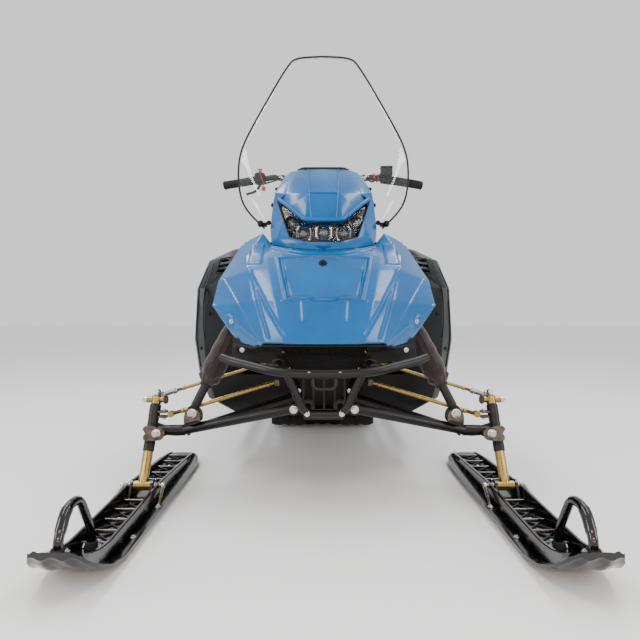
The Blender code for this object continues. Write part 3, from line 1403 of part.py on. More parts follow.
clear_scene()
PARTS = bpy.data.collections.new("utility_snowmobile")
bpy.context.scene.collection.children.link(PARTS)
main()
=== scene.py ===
import json
import math

import bmesh
import bpy
import numpy as np
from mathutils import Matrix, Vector
from mathutils.bvhtree import BVHTree


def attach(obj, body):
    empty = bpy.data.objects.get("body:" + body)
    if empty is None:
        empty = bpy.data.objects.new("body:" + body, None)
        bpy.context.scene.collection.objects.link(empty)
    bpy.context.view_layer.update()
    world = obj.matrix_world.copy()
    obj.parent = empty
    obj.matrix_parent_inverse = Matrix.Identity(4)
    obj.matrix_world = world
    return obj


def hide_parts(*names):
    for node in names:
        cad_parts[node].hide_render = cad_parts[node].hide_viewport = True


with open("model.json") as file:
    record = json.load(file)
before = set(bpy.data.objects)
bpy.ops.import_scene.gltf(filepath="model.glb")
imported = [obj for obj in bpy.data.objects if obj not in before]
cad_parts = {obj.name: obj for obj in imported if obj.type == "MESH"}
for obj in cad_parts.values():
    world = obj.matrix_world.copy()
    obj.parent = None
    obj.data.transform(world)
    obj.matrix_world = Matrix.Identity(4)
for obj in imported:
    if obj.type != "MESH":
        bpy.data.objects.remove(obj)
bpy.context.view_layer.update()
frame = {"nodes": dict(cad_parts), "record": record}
bodyOf = {node: body for body, nodes in frame["record"]["behaviour"]["bodies"].items() for node in nodes}
pivotY = -1.0575  # the ski pivots' place along Y; a station is a distance behind them
print("frame loaded:", len(bodyOf), "nodes")


# Small tools: colours, nodes, meshes

def linear(hexColour):
    # sRGB hex to linear red, green, blue and an alpha of one.
    parts = np.array([int(hexColour[i:i + 2], 16) for i in (1, 3, 5)]) / 255
    values = np.where(parts <= 0.04045, parts / 12.92, ((parts + 0.055) / 1.055) ** 2.4)
    return (*values, 1.0)


def addNode(tree, kind, inputs=None, **settings):
    # One node with its settings; an input is a value or the socket that feeds it.
    node = tree.nodes.new("ShaderNode" + kind)
    for name, value in settings.items():
        setattr(node, name, value)
    for name, value in (inputs or {}).items():
        if isinstance(value, bpy.types.NodeSocket):
            tree.links.new(value, node.inputs[name])
        else:
            node.inputs[name].default_value = value
    return node


def patternOf(tree, kind, size, detail=2.0, stretch=(1.0, 1.0, 1.0)):
    # Facing: how far the surface turns away. Otherwise a pattern in object coordinates, its blobs or
    # cells about size millimetres wide; a stretch of 0.1 makes them ten times as long that way.
    if kind == "facing":
        return addNode(tree, "LayerWeight", {"Blend": size}).outputs["Facing"]
    place = addNode(tree, "TexCoord").outputs["Object"]
    place = addNode(tree, "Mapping", {"Vector": place, "Scale": stretch}).outputs["Vector"]
    inputs = {"Vector": place, "Scale": 1000 / size}
    if kind == "noise":
        return addNode(tree, "TexNoise", {**inputs, "Detail": detail}).outputs["Fac"]
    return addNode(tree, "TexVoronoi", inputs, feature=kind).outputs["Distance"]


def spread(tree, pattern, low, high, toLow=0.0, toHigh=1.0):
    # A pattern whose values from low to high are drawn out to the second pair.
    source = patternOf(tree, *pattern)
    inputs = {"Value": source, "From Min": low, "From Max": high, "To Min": toLow, "To Max": toHigh}
    return addNode(tree, "MapRange", inputs).outputs["Result"]


def newMaterial(name, colour, roughness, metallic=0.0, tones=None, bumps=(), levels=None, **sockets):
    # A Principled material. tones: a pattern, its range and the two colours it mixes. levels: for each
    # socket a pattern, its range and the values at both ends. bumps: a pattern, a depth in
    # millimetres and perhaps a range. Other sockets get one value, their names with _ for a space.
    made = bpy.data.materials.new(name)
    made.use_nodes = True
    tree = made.node_tree
    shader = tree.nodes["Principled BSDF"]
    fixed = {"Base_Color": linear(colour), "Roughness": roughness, "Metallic": metallic, **sockets}
    for socket, value in fixed.items():
        shader.inputs[socket.replace("_", " ")].default_value = value
    feeds = {socket: spread(tree, *level) for socket, level in (levels or {}).items()}
    if tones:
        *level, first, second = tones
        inputs = {"Factor": spread(tree, *level), 6: linear(first), 7: linear(second)}
        feeds["Base Color"] = addNode(tree, "Mix", inputs, data_type="RGBA").outputs[2]
    for pattern, depth, *limits in bumps:
        height = spread(tree, pattern, *limits) if limits else patternOf(tree, *pattern)
        under = {"Normal": feeds["Normal"]} if "Normal" in feeds else {}
        inputs = {"Height": height, "Distance": depth / 1000, "Strength": 1.0, **under}
        feeds["Normal"] = addNode(tree, "Bump", inputs).outputs["Normal"]
    for socket, value in feeds.items():
        tree.links.new(value, shader.inputs[socket])
    return made


# Materials

def wovenSleeve():
    # Plain-woven nylon sleeve: brownish black, threads 1.2 mm apart, drawn at 2.4 mm to show.
    made = newMaterial("wovenNylonSleeve", "#1d1010", 0.85, Sheen_Weight=0.3, Sheen_Roughness=0.5)
    tree = made.node_tree
    waves = {}
    for number, direction in enumerate("XZ"):
        place = addNode(tree, "TexCoord").outputs["Object"]
        inputs = {"Vector": place, "Scale": 1000 / (2.4 * 3.14), "Distortion": 0.3}
        waves[number] = addNode(tree, "TexWave", inputs, bands_direction=direction).outputs["Fac"]
    weave = addNode(tree, "Math", waves, operation="MULTIPLY").outputs[0]
    raised = addNode(tree, "Bump", {"Height": weave, "Distance": 0.00025, "Strength": 1.0}).outputs["Normal"]
    tree.links.new(raised, tree.nodes["Principled BSDF"].inputs["Normal"])
    return made


finishes = {
    # Moulded ABS with sprayed colour and clear coat: deep blue, soft orange peel, sharp highlights.
    "blue_gloss_shell": newMaterial(
        "clearCoatedBlueAbs", "#00548f", 0.24, tones=(("noise", 90), 0.3, 0.7, "#005088", "#005896"),
        levels={"Roughness": (("noise", 30, 3), 0.3, 0.7, 0.20, 0.28)}, bumps=[(("noise", 3.5, 1), 0.03)],
        Coat_Weight=0.16, Coat_Roughness=0.04, Specular_IOR_Level=0.3),
    # Moulded polyethylene of the skis: gloss black with a slight ripple and long scuffs.
    "black_gloss_plastic": newMaterial(
        "mouldedBlackPolyethylene", "#030304", 0.2, Specular_IOR_Level=0.6,
        levels={"Roughness": (("noise", 2, 4, (1, 0.05, 1)), 0.55, 0.75, 0.14, 0.42)},
        bumps=[(("noise", 14), 0.25), (("noise", 2, 3, (1, 0.05, 1)), 0.03)]),
    # Moulded polypropylene with an etched leather grain: dull, slightly uneven in tone.
    "black_plastic": newMaterial(
        "grainedBlackPolypropylene", "#070708", 0.46, Specular_IOR_Level=0.2, bumps=[(("F1", 1.1), 0.09)],
        levels={"Roughness": (("noise", 25), 0.3, 0.7, 0.40, 0.52)},
        tones=(("noise", 60, 3), 0.35, 0.7, "#070708", "#0c0c0d")),
    # The same moulding in slate grey, its grain a little wider.
    "slate_plastic": newMaterial(
        "grainedSlatePolypropylene", "#0c1114", 0.36, Specular_IOR_Level=0.2, bumps=[(("F1", 1.4), 0.07)],
        levels={"Roughness": (("noise", 25), 0.3, 0.7, 0.30, 0.42)},
        tones=(("noise", 60, 3), 0.35, 0.7, "#0c1114", "#12181c")),
    # Thermoformed clear sheet: unseen face on, a mirror at a glance, so it is drawn as a bright
    # polished skin whose cover grows as the surface turns away.
    "clear_plastic": newMaterial("thermoformedPolycarbonate", "#f3f8f9", 0.03, 1.0,
                                 levels={"Alpha": (("facing", 0.35), 0.2, 1.0, 0.03, 0.5)}),
    # Steel with yellow chromated zinc: gold with patches that turn rosy or greenish.
    "zinc_yellow_steel": newMaterial(
        "yellowZincPlatedSteel", "#b8975a", 0.3, 1.0, bumps=[(("noise", 1.5, 3), 0.008)],
        levels={"Roughness": (("noise", 6, 3), 0.3, 0.7, 0.22, 0.42)},
        tones=(("noise", 22, 3), 0.35, 0.68, "#9c8651", "#8f7b49")),
    # Steel tube with black powder coat: satin, with the fine ripple that the baking leaves.
    "black_painted_steel": newMaterial(
        "blackPowderCoatedSteel", "#0b0807", 0.34, Specular_IOR_Level=0.32, bumps=[(("noise", 2.2, 1), 0.05)],
        levels={"Roughness": (("noise", 18, 3), 0.3, 0.7, 0.28, 0.42)}),
    # Sand-cast iron with a thin oxide: grey-brown, pitted.
    "cast_grey": newMaterial(
        "sandCastIron", "#6b635b", 0.55, 0.7, tones=(("noise", 9, 4), 0.35, 0.65, "#59524b", "#837a70"),
        bumps=[(("noise", 1.6, 3), 0.2)]),
    # Mill-finish aluminium sheet: light grey metal with fine rolling lines along the machine.
    "alloy_sheet": newMaterial(
        "millFinishAluminium", "#a3a6a8", 0.36, 1.0, tones=(("noise", 70, 4), 0.4, 0.7, "#a8abad", "#8f9295"),
        levels={"Roughness": (("noise", 1.2, 3, (1, 0.03, 1)), 0.3, 0.7, 0.28, 0.46)},
        bumps=[(("noise", 1.2, 3, (1, 0.03, 1)), 0.02)]),
    # Vulcanised rubber: deep black, dry, with a fine matt skin and greyed wear.
    "rubber": newMaterial(
        "mouldedRubber", "#080808", 0.8, tones=(("noise", 35, 4), 0.45, 0.75, "#080808", "#101010"),
        bumps=[(("noise", 1.3, 3), 0.12)]),
    "cover_fabric": wovenSleeve(),
    # Coated upholstery fabric: black with a pebble grain of about 2 mm and a dull sheen.
    "seat_vinyl": newMaterial(
        "seatVinyl", "#0c0c0d", 0.58, Sheen_Weight=0.1, bumps=[(("SMOOTH_F1", 2.0), 0.25)],
        tones=(("noise", 80, 3), 0.35, 0.7, "#0c0c0d", "#131315"),
        levels={"Roughness": (("noise", 40), 0.3, 0.7, 0.50, 0.66)}),
    # Moulded red acrylic: clear and glossy.
    "red_plastic": newMaterial("mouldedRedAcrylic", "#b3121f", 0.12, bumps=[(("noise", 6, 1), 0.05)],
                               Transmission_Weight=0.35, IOR=1.49),
}
slotOf = {part["node"]: part["material_slot"] for part in frame["record"]["subparts"]}
for name, slot in slotOf.items():
    node = frame["nodes"][name]
    node.data.materials.clear()
    node.data.materials.append(finishes[slot])
# Bright zinc-plated fasteners: silvery with a cool cast.
boltSteel = newMaterial("brightZincSteel", "#b9bdc0", 0.25, 1.0,
                        levels={"Roughness": (("noise", 3, 3), 0.3, 0.7, 0.18, 0.36)})
# Forged and phosphated steel: dark grey-brown, dull, with a fine sandy skin.
castSteel = newMaterial("phosphatedForgedSteel", "#554b45", 0.5, 0.6, bumps=[(("noise", 1.4, 3), 0.12)],
                        tones=(("noise", 10, 4), 0.35, 0.65, "#453d38", "#6a5f56"))
# Lamp reflectors: plastic with vacuum-deposited aluminium, a clean bright mirror.
chromedPlastic = newMaterial("vacuumAluminisedPlastic", "#8f9498", 0.14, 1.0,
                             levels={"Roughness": (("noise", 8), 0.3, 0.7, 0.08, 0.16)})
# Pressed projector lenses: grey glass that mirrors the room; its colour is painted lighter where it faces the
# eye and darker towards its rim, a painted glow at its middle.
projectorGlass = newMaterial("pressedProjectorGlass", "#34393d", 0.06, Coat_Weight=1.0, Coat_Roughness=0.02,
                             tones=(("facing", 0.5), 0.0, 0.8, "#3c4246", "#0c0e10"))
# Moulded intake screen: black, holes 6 mm apart shown as pits painted near black, painted shade in the holes,
# between thin bars.
intakeMesh = newMaterial("mouldedIntakeScreen", "#0c0d0e", 0.5, bumps=[(("F1", 6.0), 1.2, 0.15, 0.42)],
                         tones=(("F1", 6.0), 0.15, 0.42, "#020202", "#1a1c1d"))
# The lamps' cover, moulded clear acrylic: fainter than the windshield.
lensPlastic = newMaterial("mouldedLampLens", "#c8d2d6", 0.03, 1.0,
                          levels={"Alpha": (("facing", 0.35), 0.2, 1.0, 0.008, 0.22)})
# Twisted and waxed polyester thread: dark, with a grey lustre.
threadBlack = newMaterial("waxedPolyesterThread", "#3a3a3c", 0.6)
# Coated display glass: near black and glossy.
displayGlass = newMaterial("coatedDisplayGlass", "#050608", 0.08, Coat_Weight=1.0, Coat_Roughness=0.02)
print("materials:", len(bpy.data.materials))


# Meshes from arrays

def gridFaces(rows, columns, wrapRows=False, wrapColumns=False):
    # Quads between neighbours on a grid of points.
    r = np.arange(rows if wrapRows else rows - 1)[:, None]
    c = np.arange(columns if wrapColumns else columns - 1)[None, :]
    nextR, nextC = (r + 1) % rows, (c + 1) % columns
    here, above = r * columns, nextR * columns
    quads = np.stack(np.broadcast_arrays(here + c, here + nextC, above + nextC, above + c), -1)
    return quads.reshape(-1, 4).tolist()


def closedFaces(rows, columns):
    # Quads round one ring after another, and a face on either end.
    ends = [list(range(columns))[::-1], list(range((rows - 1) * columns, rows * columns))]
    return gridFaces(rows, columns, wrapColumns=True) + ends


def joined(shapes):
    # Several shapes as one list of points and one of faces.
    points, faces, first = [], [], 0
    for shapePoints, shapeFaces in shapes:
        points.append(shapePoints)
        faces += [[first + i for i in face] for face in shapeFaces]
        first += len(shapePoints)
    return np.concatenate(points), faces


def mirrored(shape):
    points, faces = shape
    return points * np.array([-1.0, 1.0, 1.0]), [face[::-1] for face in faces]


def both(shape):
    return joined([shape, mirrored(shape)])


def turnTo(axis):
    # The rotation that turns Z to the axis.
    return np.array(Vector(axis).to_track_quat("Z", "Y").to_matrix())


def moved(shape, origin, axis=(0, 0, 1), size=1.0):
    # The shape with its own Z turned to the axis, then set at the origin.
    points, faces = shape
    return points * size @ turnTo(axis).T + np.array(origin), faces


def revolved(profile, sides=24):
    # Radius and height pairs turned round Z; radii of zero close the ends.
    profile = np.array(profile, float)
    turns = np.linspace(0, 2 * np.pi, sides, endpoint=False)[None, :]
    radius, height = profile[:, :1], profile[:, 1:]
    points = np.stack(np.broadcast_arrays(radius * np.cos(turns), radius * np.sin(turns), height), -1)
    return points.reshape(-1, 3), gridFaces(len(profile), sides, wrapColumns=True)


def tube(path, radius, sides=12, closed=False, flatten=1.0, up=(0.0, 0.0, 1.0)):
    # A ring of the radius carried along the path; the ring's second axis is flattened.
    path = np.array(path, float)
    radius = np.broadcast_to(np.array(radius, float), len(path))[:, None, None]
    ahead = np.roll(path, -1, 0) - np.roll(path, 1, 0) if closed else np.gradient(path, axis=0)
    ahead /= np.linalg.norm(ahead, axis=1, keepdims=True)
    across = np.cross(ahead, np.array(up))
    across /= np.linalg.norm(across, axis=1, keepdims=True)
    above = np.cross(across, ahead)
    turns = np.linspace(0, 2 * np.pi, sides, endpoint=False)[None, :, None]
    ring = across[:, None] * np.cos(turns) + above[:, None] * np.sin(turns) * flatten
    points = path[:, None] + ring * radius
    size = len(path), sides
    faces = gridFaces(*size, wrapRows=True, wrapColumns=True) if closed else closedFaces(*size)
    return points.reshape(-1, 3), faces


def smoothPath(points, count):
    # Catmull-Rom curve through the points, sampled evenly in its parameter.
    p = np.array(points, float)
    p = np.vstack([2 * p[0] - p[1], p, 2 * p[-1] - p[-2]])
    t = np.linspace(0, len(points) - 1, count)
    i = np.minimum(t.astype(int), len(points) - 2)
    u = (t - i)[:, None]
    a, b, c, d = p[i], p[i + 1], p[i + 2], p[i + 3]
    square, cube = 2 * a - 5 * b + 4 * c - d, 3 * b - a - 3 * c + d
    return 0.5 * (2 * b + (c - a) * u + square * u ** 2 + cube * u ** 3)


def addPiece(name, shape, slot, body="chassis", node=None, material=None, angle=35, weld=0.00001):
    # A finished mesh at the origin, welded, with its normals outward, riding on its body, in the
    # place of its node if it has one. Without a material of its own it takes its slot's. The shape
    # may be a list of shapes.
    points, faces = joined(shape) if isinstance(shape, list) else shape
    mesh = bpy.data.meshes.new(name)
    mesh.from_pydata(points.tolist(), [], faces)
    bm = bmesh.new()
    bm.from_mesh(mesh)
    bmesh.ops.remove_doubles(bm, verts=bm.verts, dist=weld)
    bmesh.ops.recalc_face_normals(bm, faces=bm.faces)
    bm.to_mesh(mesh)
    bm.free()
    mesh.shade_smooth()
    mesh.set_sharp_from_angle(angle=math.radians(angle))
    mesh.materials.append(material or finishes[slot])
    piece = bpy.data.objects.new(name, mesh)
    bpy.context.scene.collection.objects.link(piece)
    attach(piece, body)
    if node:
        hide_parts(node)
    return piece


def placesOf(mesh):
    values = np.empty(len(mesh.vertices) * 3)
    mesh.vertices.foreach_get("co", values)
    return values.reshape(-1, 3)


def treeOf(mesh):
    # The mesh's faces, ready for rays.
    return BVHTree.FromPolygons(placesOf(mesh).tolist(), [tuple(face.vertices) for face in mesh.polygons])


def softened(node, millimetres, material=None, segments=2, angle=22):
    # The node's own shape with its sharp edges rounded, in the node's place.
    source = frame["nodes"][node]
    mesh = source.data.copy()
    bm = bmesh.new()
    bm.from_mesh(mesh)
    bmesh.ops.remove_doubles(bm, verts=bm.verts, dist=0.00002)
    bmesh.ops.dissolve_limit(bm, angle_limit=math.radians(0.6), verts=bm.verts, edges=bm.edges)
    bm.to_mesh(mesh)
    bm.free()
    mesh.shade_smooth()
    mesh.materials.clear()
    mesh.materials.append(material or finishes[slotOf[node]])
    piece = bpy.data.objects.new(node + "_rounded", mesh)
    bpy.context.scene.collection.objects.link(piece)
    step = piece.modifiers.new("Rounding", "BEVEL")
    step.width = millimetres / 1000
    step.segments = segments
    step.limit_method = "ANGLE"
    step.angle_limit = math.radians(angle)
    step.harden_normals = True
    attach(piece, bodyOf[node])
    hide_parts(node)
    return piece


def spot(x, station, height):
    # A place as sizes are given here: across, behind the ski pivots, above the ground.
    return np.array([x, station + pivotY, height], float)


def symmetric(table):
    # Places from one side to the middle, then their mirror images outward, the middle only once.
    points = np.array([spot(*place) for place in table])
    back = points[::-1] * (-1, 1, 1)
    return np.concatenate([points, back[1:] if points[-1, 0] == 0 else back])


def unit(vector):
    vector = np.array(vector, float)
    return vector / np.linalg.norm(vector)


def unitRows(rows):
    return rows / np.maximum(np.linalg.norm(rows, axis=1, keepdims=True), 1e-9)


def lengthsOf(path):
    # How far along the path each of its points is.
    return np.concatenate([[0], np.cumsum(np.linalg.norm(np.diff(path, axis=0), axis=1))])


def pointsAt(path, distances):
    # The path's points at those distances from its start.
    lengths = lengthsOf(path)
    return np.stack([np.interp(distances, lengths, column) for column in np.transpose(path)], -1)


def roundedPath(points, radius, steps=8):
    # Straight runs; each inner corner becomes a quadratic curve between points on its two runs.
    points = np.array(points, float)
    t = np.linspace(0, 1, steps + 1)[:, None]
    path = [points[:1]]
    for before, corner, after in zip(points, points[1:], points[2:]):
        toBefore, toAfter = before - corner, after - corner
        reach = min(radius, np.linalg.norm(toBefore) * 0.45, np.linalg.norm(toAfter) * 0.45)
        enter, leave = corner + unit(toBefore) * reach, corner + unit(toAfter) * reach
        path.append(enter * (1 - t) ** 2 + corner * 2 * t * (1 - t) + leave * t ** 2)
    path.append(points[-1:])
    return np.concatenate(path)


def bent(points, diameter, radius=0.04, sides=20, up=(0.0, 0.0, 1.0)):
    # A round tube along the points with rounded corners.
    return tube(roundedPath(points, radius), diameter / 2, sides, up=up)


def addPair(name, shape, slot, body="chassis", node=None, **more):
    # The left piece and its mirror image, each on its side's body and in its side's node's place.
    made = []
    shape = joined(shape) if isinstance(shape, list) else shape
    for side, sideShape in (("left", shape), ("right", mirrored(shape))):
        onBody = body if body in ("chassis", "steering") else body + "_" + side
        onNode = node and node + "_" + side
        made.append(addPiece(name + side.title(), sideShape, slot, onBody, onNode, **more))
    return made


def bolt(place, axis, radius=0.006, washer=1.35):
    # A flanged hexagon head of the radius on its seat, facing along the axis.
    flange = revolved([(0.0, 0.0), (washer, 0.0), (washer, 0.14), (1.05, 0.26), (0.0, 0.26)], 18)
    head = revolved([(0.0, 0.2), (0.98, 0.2), (1.0, 0.72), (0.86, 0.86), (0.0, 0.86)], 6)
    return moved(joined([flange, head]), place, axis, radius)


def bolts(places, radius=0.006):
    return joined([bolt(place, axis, radius) for place, axis in places])


def addBolts(name, places, radius, body="chassis", slot="zinc_yellow_steel"):
    # Bright zinc-plated bolts at the places, each a place and the way it faces.
    addPiece(name, bolts(places, radius), slot, body, material=boltSteel)


def addBoltPair(name, places, radius, body="chassis", slot="zinc_yellow_steel"):
    addPair(name, bolts(places, radius), slot, body, material=boltSteel)


def disc(place, axis, profile, sides=24):
    # Radius and height pairs turned about the axis and closed on it, unless they end where they begin.
    if not np.allclose(profile[0], profile[-1]):
        profile = [(0, profile[0][1]), *profile, (0, profile[-1][1])]
    return moved(revolved(profile, sides), place, axis)


def block(centre, size, turn=None, chamfer=0.12):
    # A block whose edges are cut back: two rings of eight points each way, closed by flat ends.
    half = np.array(size, float) / 2
    cut = min(half) * chamfer * 2
    corners = np.array([(1, -1), (1, 1), (-1, 1), (-1, -1)], float)
    rings = []
    for z, inset in ((-half[2], cut), (-half[2] + cut, 0.0), (half[2] - cut, 0.0), (half[2], cut)):
        ring = []
        for sx, sy in corners:
            x, y = half[0] - inset, half[1] - inset
            first, second = (sx * x, sy * (y - cut)), (sx * (x - cut), sy * y)
            ring += [first, second] if sx * sy > 0 else [second, first]
        rings.append([(*p, z) for p in ring])
    points = np.array(rings).reshape(-1, 3)
    if turn is not None:
        points = points @ np.array(turn, float).T
    return points + np.array(centre, float), closedFaces(4, 8)


def sampled(control, across, along):
    # Bilinear points between the control points of a grid, evenly spaced in its two indices.
    control = np.array(control, float)
    r = np.linspace(0, control.shape[0] - 1, along)
    c = np.linspace(0, control.shape[1] - 1, across)
    i, j = np.minimum(r.astype(int), control.shape[0] - 2), np.minimum(c.astype(int), control.shape[1] - 2)
    u, v = (r - i)[:, None, None], (c - j)[None, :, None]
    low = control[i][:, j] * (1 - v) + control[i][:, j + 1] * v
    high = control[i + 1][:, j] * (1 - v) + control[i + 1][:, j + 1] * v
    return low * (1 - u) + high * u


def blurred(grid, passes):
    # Each point becomes a quarter, a half and a quarter of its neighbours and itself, both ways.
    for _ in range(passes):
        grid[1:-1] = (grid[:-2] + 2 * grid[1:-1] + grid[2:]) / 4
        grid[:, 1:-1] = (grid[:, :-2] + 2 * grid[:, 1:-1] + grid[:, 2:]) / 4
    return grid


def blurredLoop(points, passes):
    for _ in range(passes):
        points = (np.roll(points, 1, 0) + points * 2 + np.roll(points, -1, 0)) / 4
    return points


def normalsOf(grid):
    # Unit cross product of the surface's two directions.
    normal = np.cross(np.gradient(grid, axis=1), np.gradient(grid, axis=0))
    return normal / np.maximum(np.linalg.norm(normal, axis=-1, keepdims=True), 1e-12)


def rise(value, low, high):
    # Smooth step: 0 below low, 1 above high, 3t^2 - 2t^3 between.
    t = np.clip((value - low) / (high - low), 0, 1)
    return t * t * (3 - 2 * t)


def ridge(distance, width):
    # A rounded ridge of height one where the distance is zero, gone at the width.
    return np.clip(1 - (distance / width) ** 2, 0, 1) ** 1.5


def toLine(x, z, start, end):
    # Distance to the stretch between two points of the front view.
    (x0, z0), (x1, z1) = start, end
    run = np.array([x1 - x0, z1 - z0])
    t = np.clip(((x - x0) * run[0] + (z - z0) * run[1]) / (run @ run), 0, 1)
    return np.hypot(x - x0 - run[0] * t, z - z0 - run[1] * t)


def walled(piece, wall, offset=-1.0):
    step = piece.modifiers.new("Wall", "SOLIDIFY")
    step.thickness = wall
    step.offset = offset
    step.use_even_offset = True


def gridShape(grid):
    rows, columns = grid.shape[:2]
    return grid.reshape(-1, 3), gridFaces(rows, columns)


# Hood: control points by rows from the lip to the rear edge, then detail pressed along the normal

hood = {
    "rows": (
        ((0.0, -0.176, 0.486), (0.080, -0.172, 0.486), (0.108, -0.169, 0.487),
         (0.160, -0.156, 0.488), (0.180, -0.132, 0.474), (0.264, -0.040, 0.480)),
        ((0.0, -0.082, 0.606), (0.098, -0.076, 0.605), (0.138, -0.074, 0.603),
         (0.205, -0.048, 0.601), (0.258, -0.014, 0.592), (0.334, 0.022, 0.588)),
        ((0.0, 0.022, 0.694), (0.118, 0.028, 0.695), (0.163, 0.038, 0.695),
         (0.232, 0.064, 0.694), (0.300, 0.096, 0.672), (0.330, 0.118, 0.664)),
        ((0.0, 0.078, 0.738), (0.130, 0.090, 0.738), (0.1765, 0.116, 0.742),
         (0.248, 0.158, 0.746), (0.284, 0.192, 0.736), (0.308, 0.214, 0.728)),
        ((0.0, 0.102, 0.757), (0.104, 0.132, 0.768), (0.168, 0.198, 0.785),
         (0.200, 0.224, 0.826), (0.246, 0.252, 0.808), (0.280, 0.264, 0.786))),
    "acrossPoints": 210, "alongPoints": 150, "roundingPasses": 2, "wall": 0.0035,
    "lidLow": (0.606, 0.096), "lidHigh": (0.728, 0.128),    # height and half width
    "lidLift": 0.0032, "grooveDepth": 0.0045, "frameWidth": 0.013,
    "stepLine": (0.600, 0.116, 0.0022),                     # height, half width, rise
    "ribs": ((0.060, 0.596, 0.056, 0.548),),                # upper and lower end
    "diagonal": ((0.232, 0.700), (0.110, 0.508)),
    # both ends, and how steeply the facet outside falls away
    "cheekLines": (((0.311, 0.668), (0.170, 0.490), 0.07), ((0.334, 0.592), (0.175, 0.490), 0.24)),
    "bandEdge": ((0.222, 0.694), (0.150, 0.500)),
    "boxFacet": (0.194, 0.780, 0.715, 0.0036),              # x, top, foot, rise
    "dish": (0.268, 0.541, 0.022, 0.005),                   # x, height, radius, depth
}


def buildHood():
    half = np.array(hood["rows"])
    control = np.concatenate([half[:, :0:-1] * (-1, 1, 1), half], axis=1) + np.array([0, pivotY, 0])
    grid = blurred(sampled(control, hood["acrossPoints"], hood["alongPoints"]), hood["roundingPasses"])
    out = normalsOf(grid)
    out *= np.sign(-out[..., 1:2] + out[..., 2:3])
    x, z = np.abs(grid[..., 0]), grid[..., 2]
    (lowZ, lowHalf), (highZ, highHalf) = hood["lidLow"], hood["lidHigh"]
    halfWidth = lowHalf + (highHalf - lowHalf) * (z - lowZ) / (highZ - lowZ)
    dip = lowZ - 0.003 + 0.006 * rise(x, 0.02, 0.05)
    edge = np.maximum.reduce([x - halfWidth, (dip - z) * 1.3, (z - highZ) * 1.6])
    press = hood["lidLift"] * rise(-edge, 0.0, 0.0035)
    press -= hood["grooveDepth"] * ridge(edge - 0.0035, 0.0055)
    press += 0.0026 * ridge(edge - hood["frameWidth"], 0.0055) * rise(z, lowZ - 0.01, lowZ + 0.01)
    stepZ, stepHalf, stepRise = hood["stepLine"]
    press += stepRise * ridge((z - stepZ) * 1.3, 0.005) * rise(-x, -stepHalf - 0.01, -stepHalf)
    for x0, z0, x1, z1 in hood["ribs"]:
        press += 0.0028 * ridge(toLine(x, z, (x0, z0), (x1, z1)), 0.0058)
    below = rise(hood["diagonal"][1][0] + 0.05 - x, -0.2, 0.0)
    press += 0.0034 * ridge(toLine(x, z, *hood["diagonal"]), 0.0065) * below
    press += 0.0024 * ridge(toLine(x, z, *hood["bandEdge"]), 0.005)
    boxX, boxTop, boxLow, boxRise = hood["boxFacet"]
    inBox = rise(x, boxX - 0.004, boxX) * rise(-x, -0.236, -0.230) * rise(z, boxLow - 0.004, boxLow)
    press += boxRise * inBox * rise(-z, -boxTop - 0.01, -boxTop)
    for height, lift in ((0.7475, 0.0030), (0.7355, 0.0034)):
        arc = z - height - 1.15 * x ** 2
        press += lift * ridge(arc * 1.5, 0.0048) * rise(-x, -0.168, -0.150)
    for start, end, _ in hood["cheekLines"]:
        press += 0.0022 * ridge(toLine(x, z, start, end), 0.0042)
    dishX, dishZ, radius, depth = hood["dish"]
    press -= depth * rise(radius - np.hypot(x - dishX, (z - dishZ) * 0.8), 0.0, radius * 0.7)
    edgeRow = np.minimum(np.arange(grid.shape[0]), 6)[:, None] / 6
    press *= edgeRow
    for start, end, slope in hood["cheekLines"]:
        # Outside the line the facet falls away: depth = slope * distance.
        way = unit(np.subtract(end, start))
        outside = np.maximum(way[0] * (z - start[1]) - way[1] * (x - start[0]), 0)
        press -= slope * outside * rise(-z, -0.70, -0.64)
    grid += out * press[..., None]
    walled(addPiece("hoodShell", gridShape(grid), "blue_gloss_shell", angle=50, node="hood"), hood["wall"])


def facingFront(normal):
    return unit(normal * -np.sign(normal[1]))


def onHood(x, height):
    # The hood's place in front of a point of the front view, and its normal there.
    surface = bpy.data.objects["hoodShell"].data
    points = placesOf(surface)
    nearest = np.argmin(np.hypot(points[:, 0] - x, points[:, 2] - height))
    return points[nearest], facingFront(np.array(surface.vertices[int(nearest)].normal))


def buildHoodFittings():
    place, normal = onHood(0.0, 0.714)
    clip = joined([disc(place, normal, [(0.0125, 0), (0.0125, 0.002), (0.0105, 0.0045)]),
        block(place + normal * 0.006, (0.004, 0.017, 0.005), turnTo(normal))])
    addPiece("hoodClip", clip, "black_plastic")
    dishX, dishZ = hood["dish"][:2]
    addBolts("cheekBolts", [onHood(-dishX, dishZ), onHood(dishX, dishZ)], 0.0058)


# Pod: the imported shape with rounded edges, the visor's lip, the panel seams and the lamp gasket

pod = {
    "opening": ((0.0, 0.787), (0.048, 0.788), (0.108, 0.806), (0.153, 0.938), (0.118, 0.906), (0.062, 0.853),
                (0.0, 0.851)),
    "lipRadius": 0.0070, "gasketRadius": 0.0020, "seamRadius": 0.0011,
    "seams": (((0.052, 0.335, 1.060), (0.046, 0.184, 0.951), (0.040, 0.130, 0.860)),),
    "crease": ((-0.050, 0.178, 0.9515), (0.0, 0.1765, 0.9508), (0.050, 0.178, 0.9515)),
}


def castOnto(node, table):
    # Points of the front view thrown rearward onto a node's mesh.
    tree = treeOf(frame["nodes"][node].data)
    found = []
    for x, z in table:
        hit, normal, _, _ = tree.ray_cast(Vector((x, -1.6, z)), Vector((0, 1, 0)))
        if hit is not None:
            found.append((tuple(hit), tuple(normal)))
    return np.array([hit for hit, _ in found]), np.array([normal for _, normal in found])


def alongOutline(outline, count, inset=0.0):
    # Evenly spaced points on an outline of the front view, moved outward by the inset's opposite.
    outline = np.array(outline, float)
    points = pointsAt(outline, np.linspace(0, lengthsOf(outline)[-1], count))
    run = np.gradient(points, axis=0)
    run /= np.linalg.norm(run, axis=1, keepdims=True)
    return points + np.stack([run[:, 1], -run[:, 0]], 1) * inset


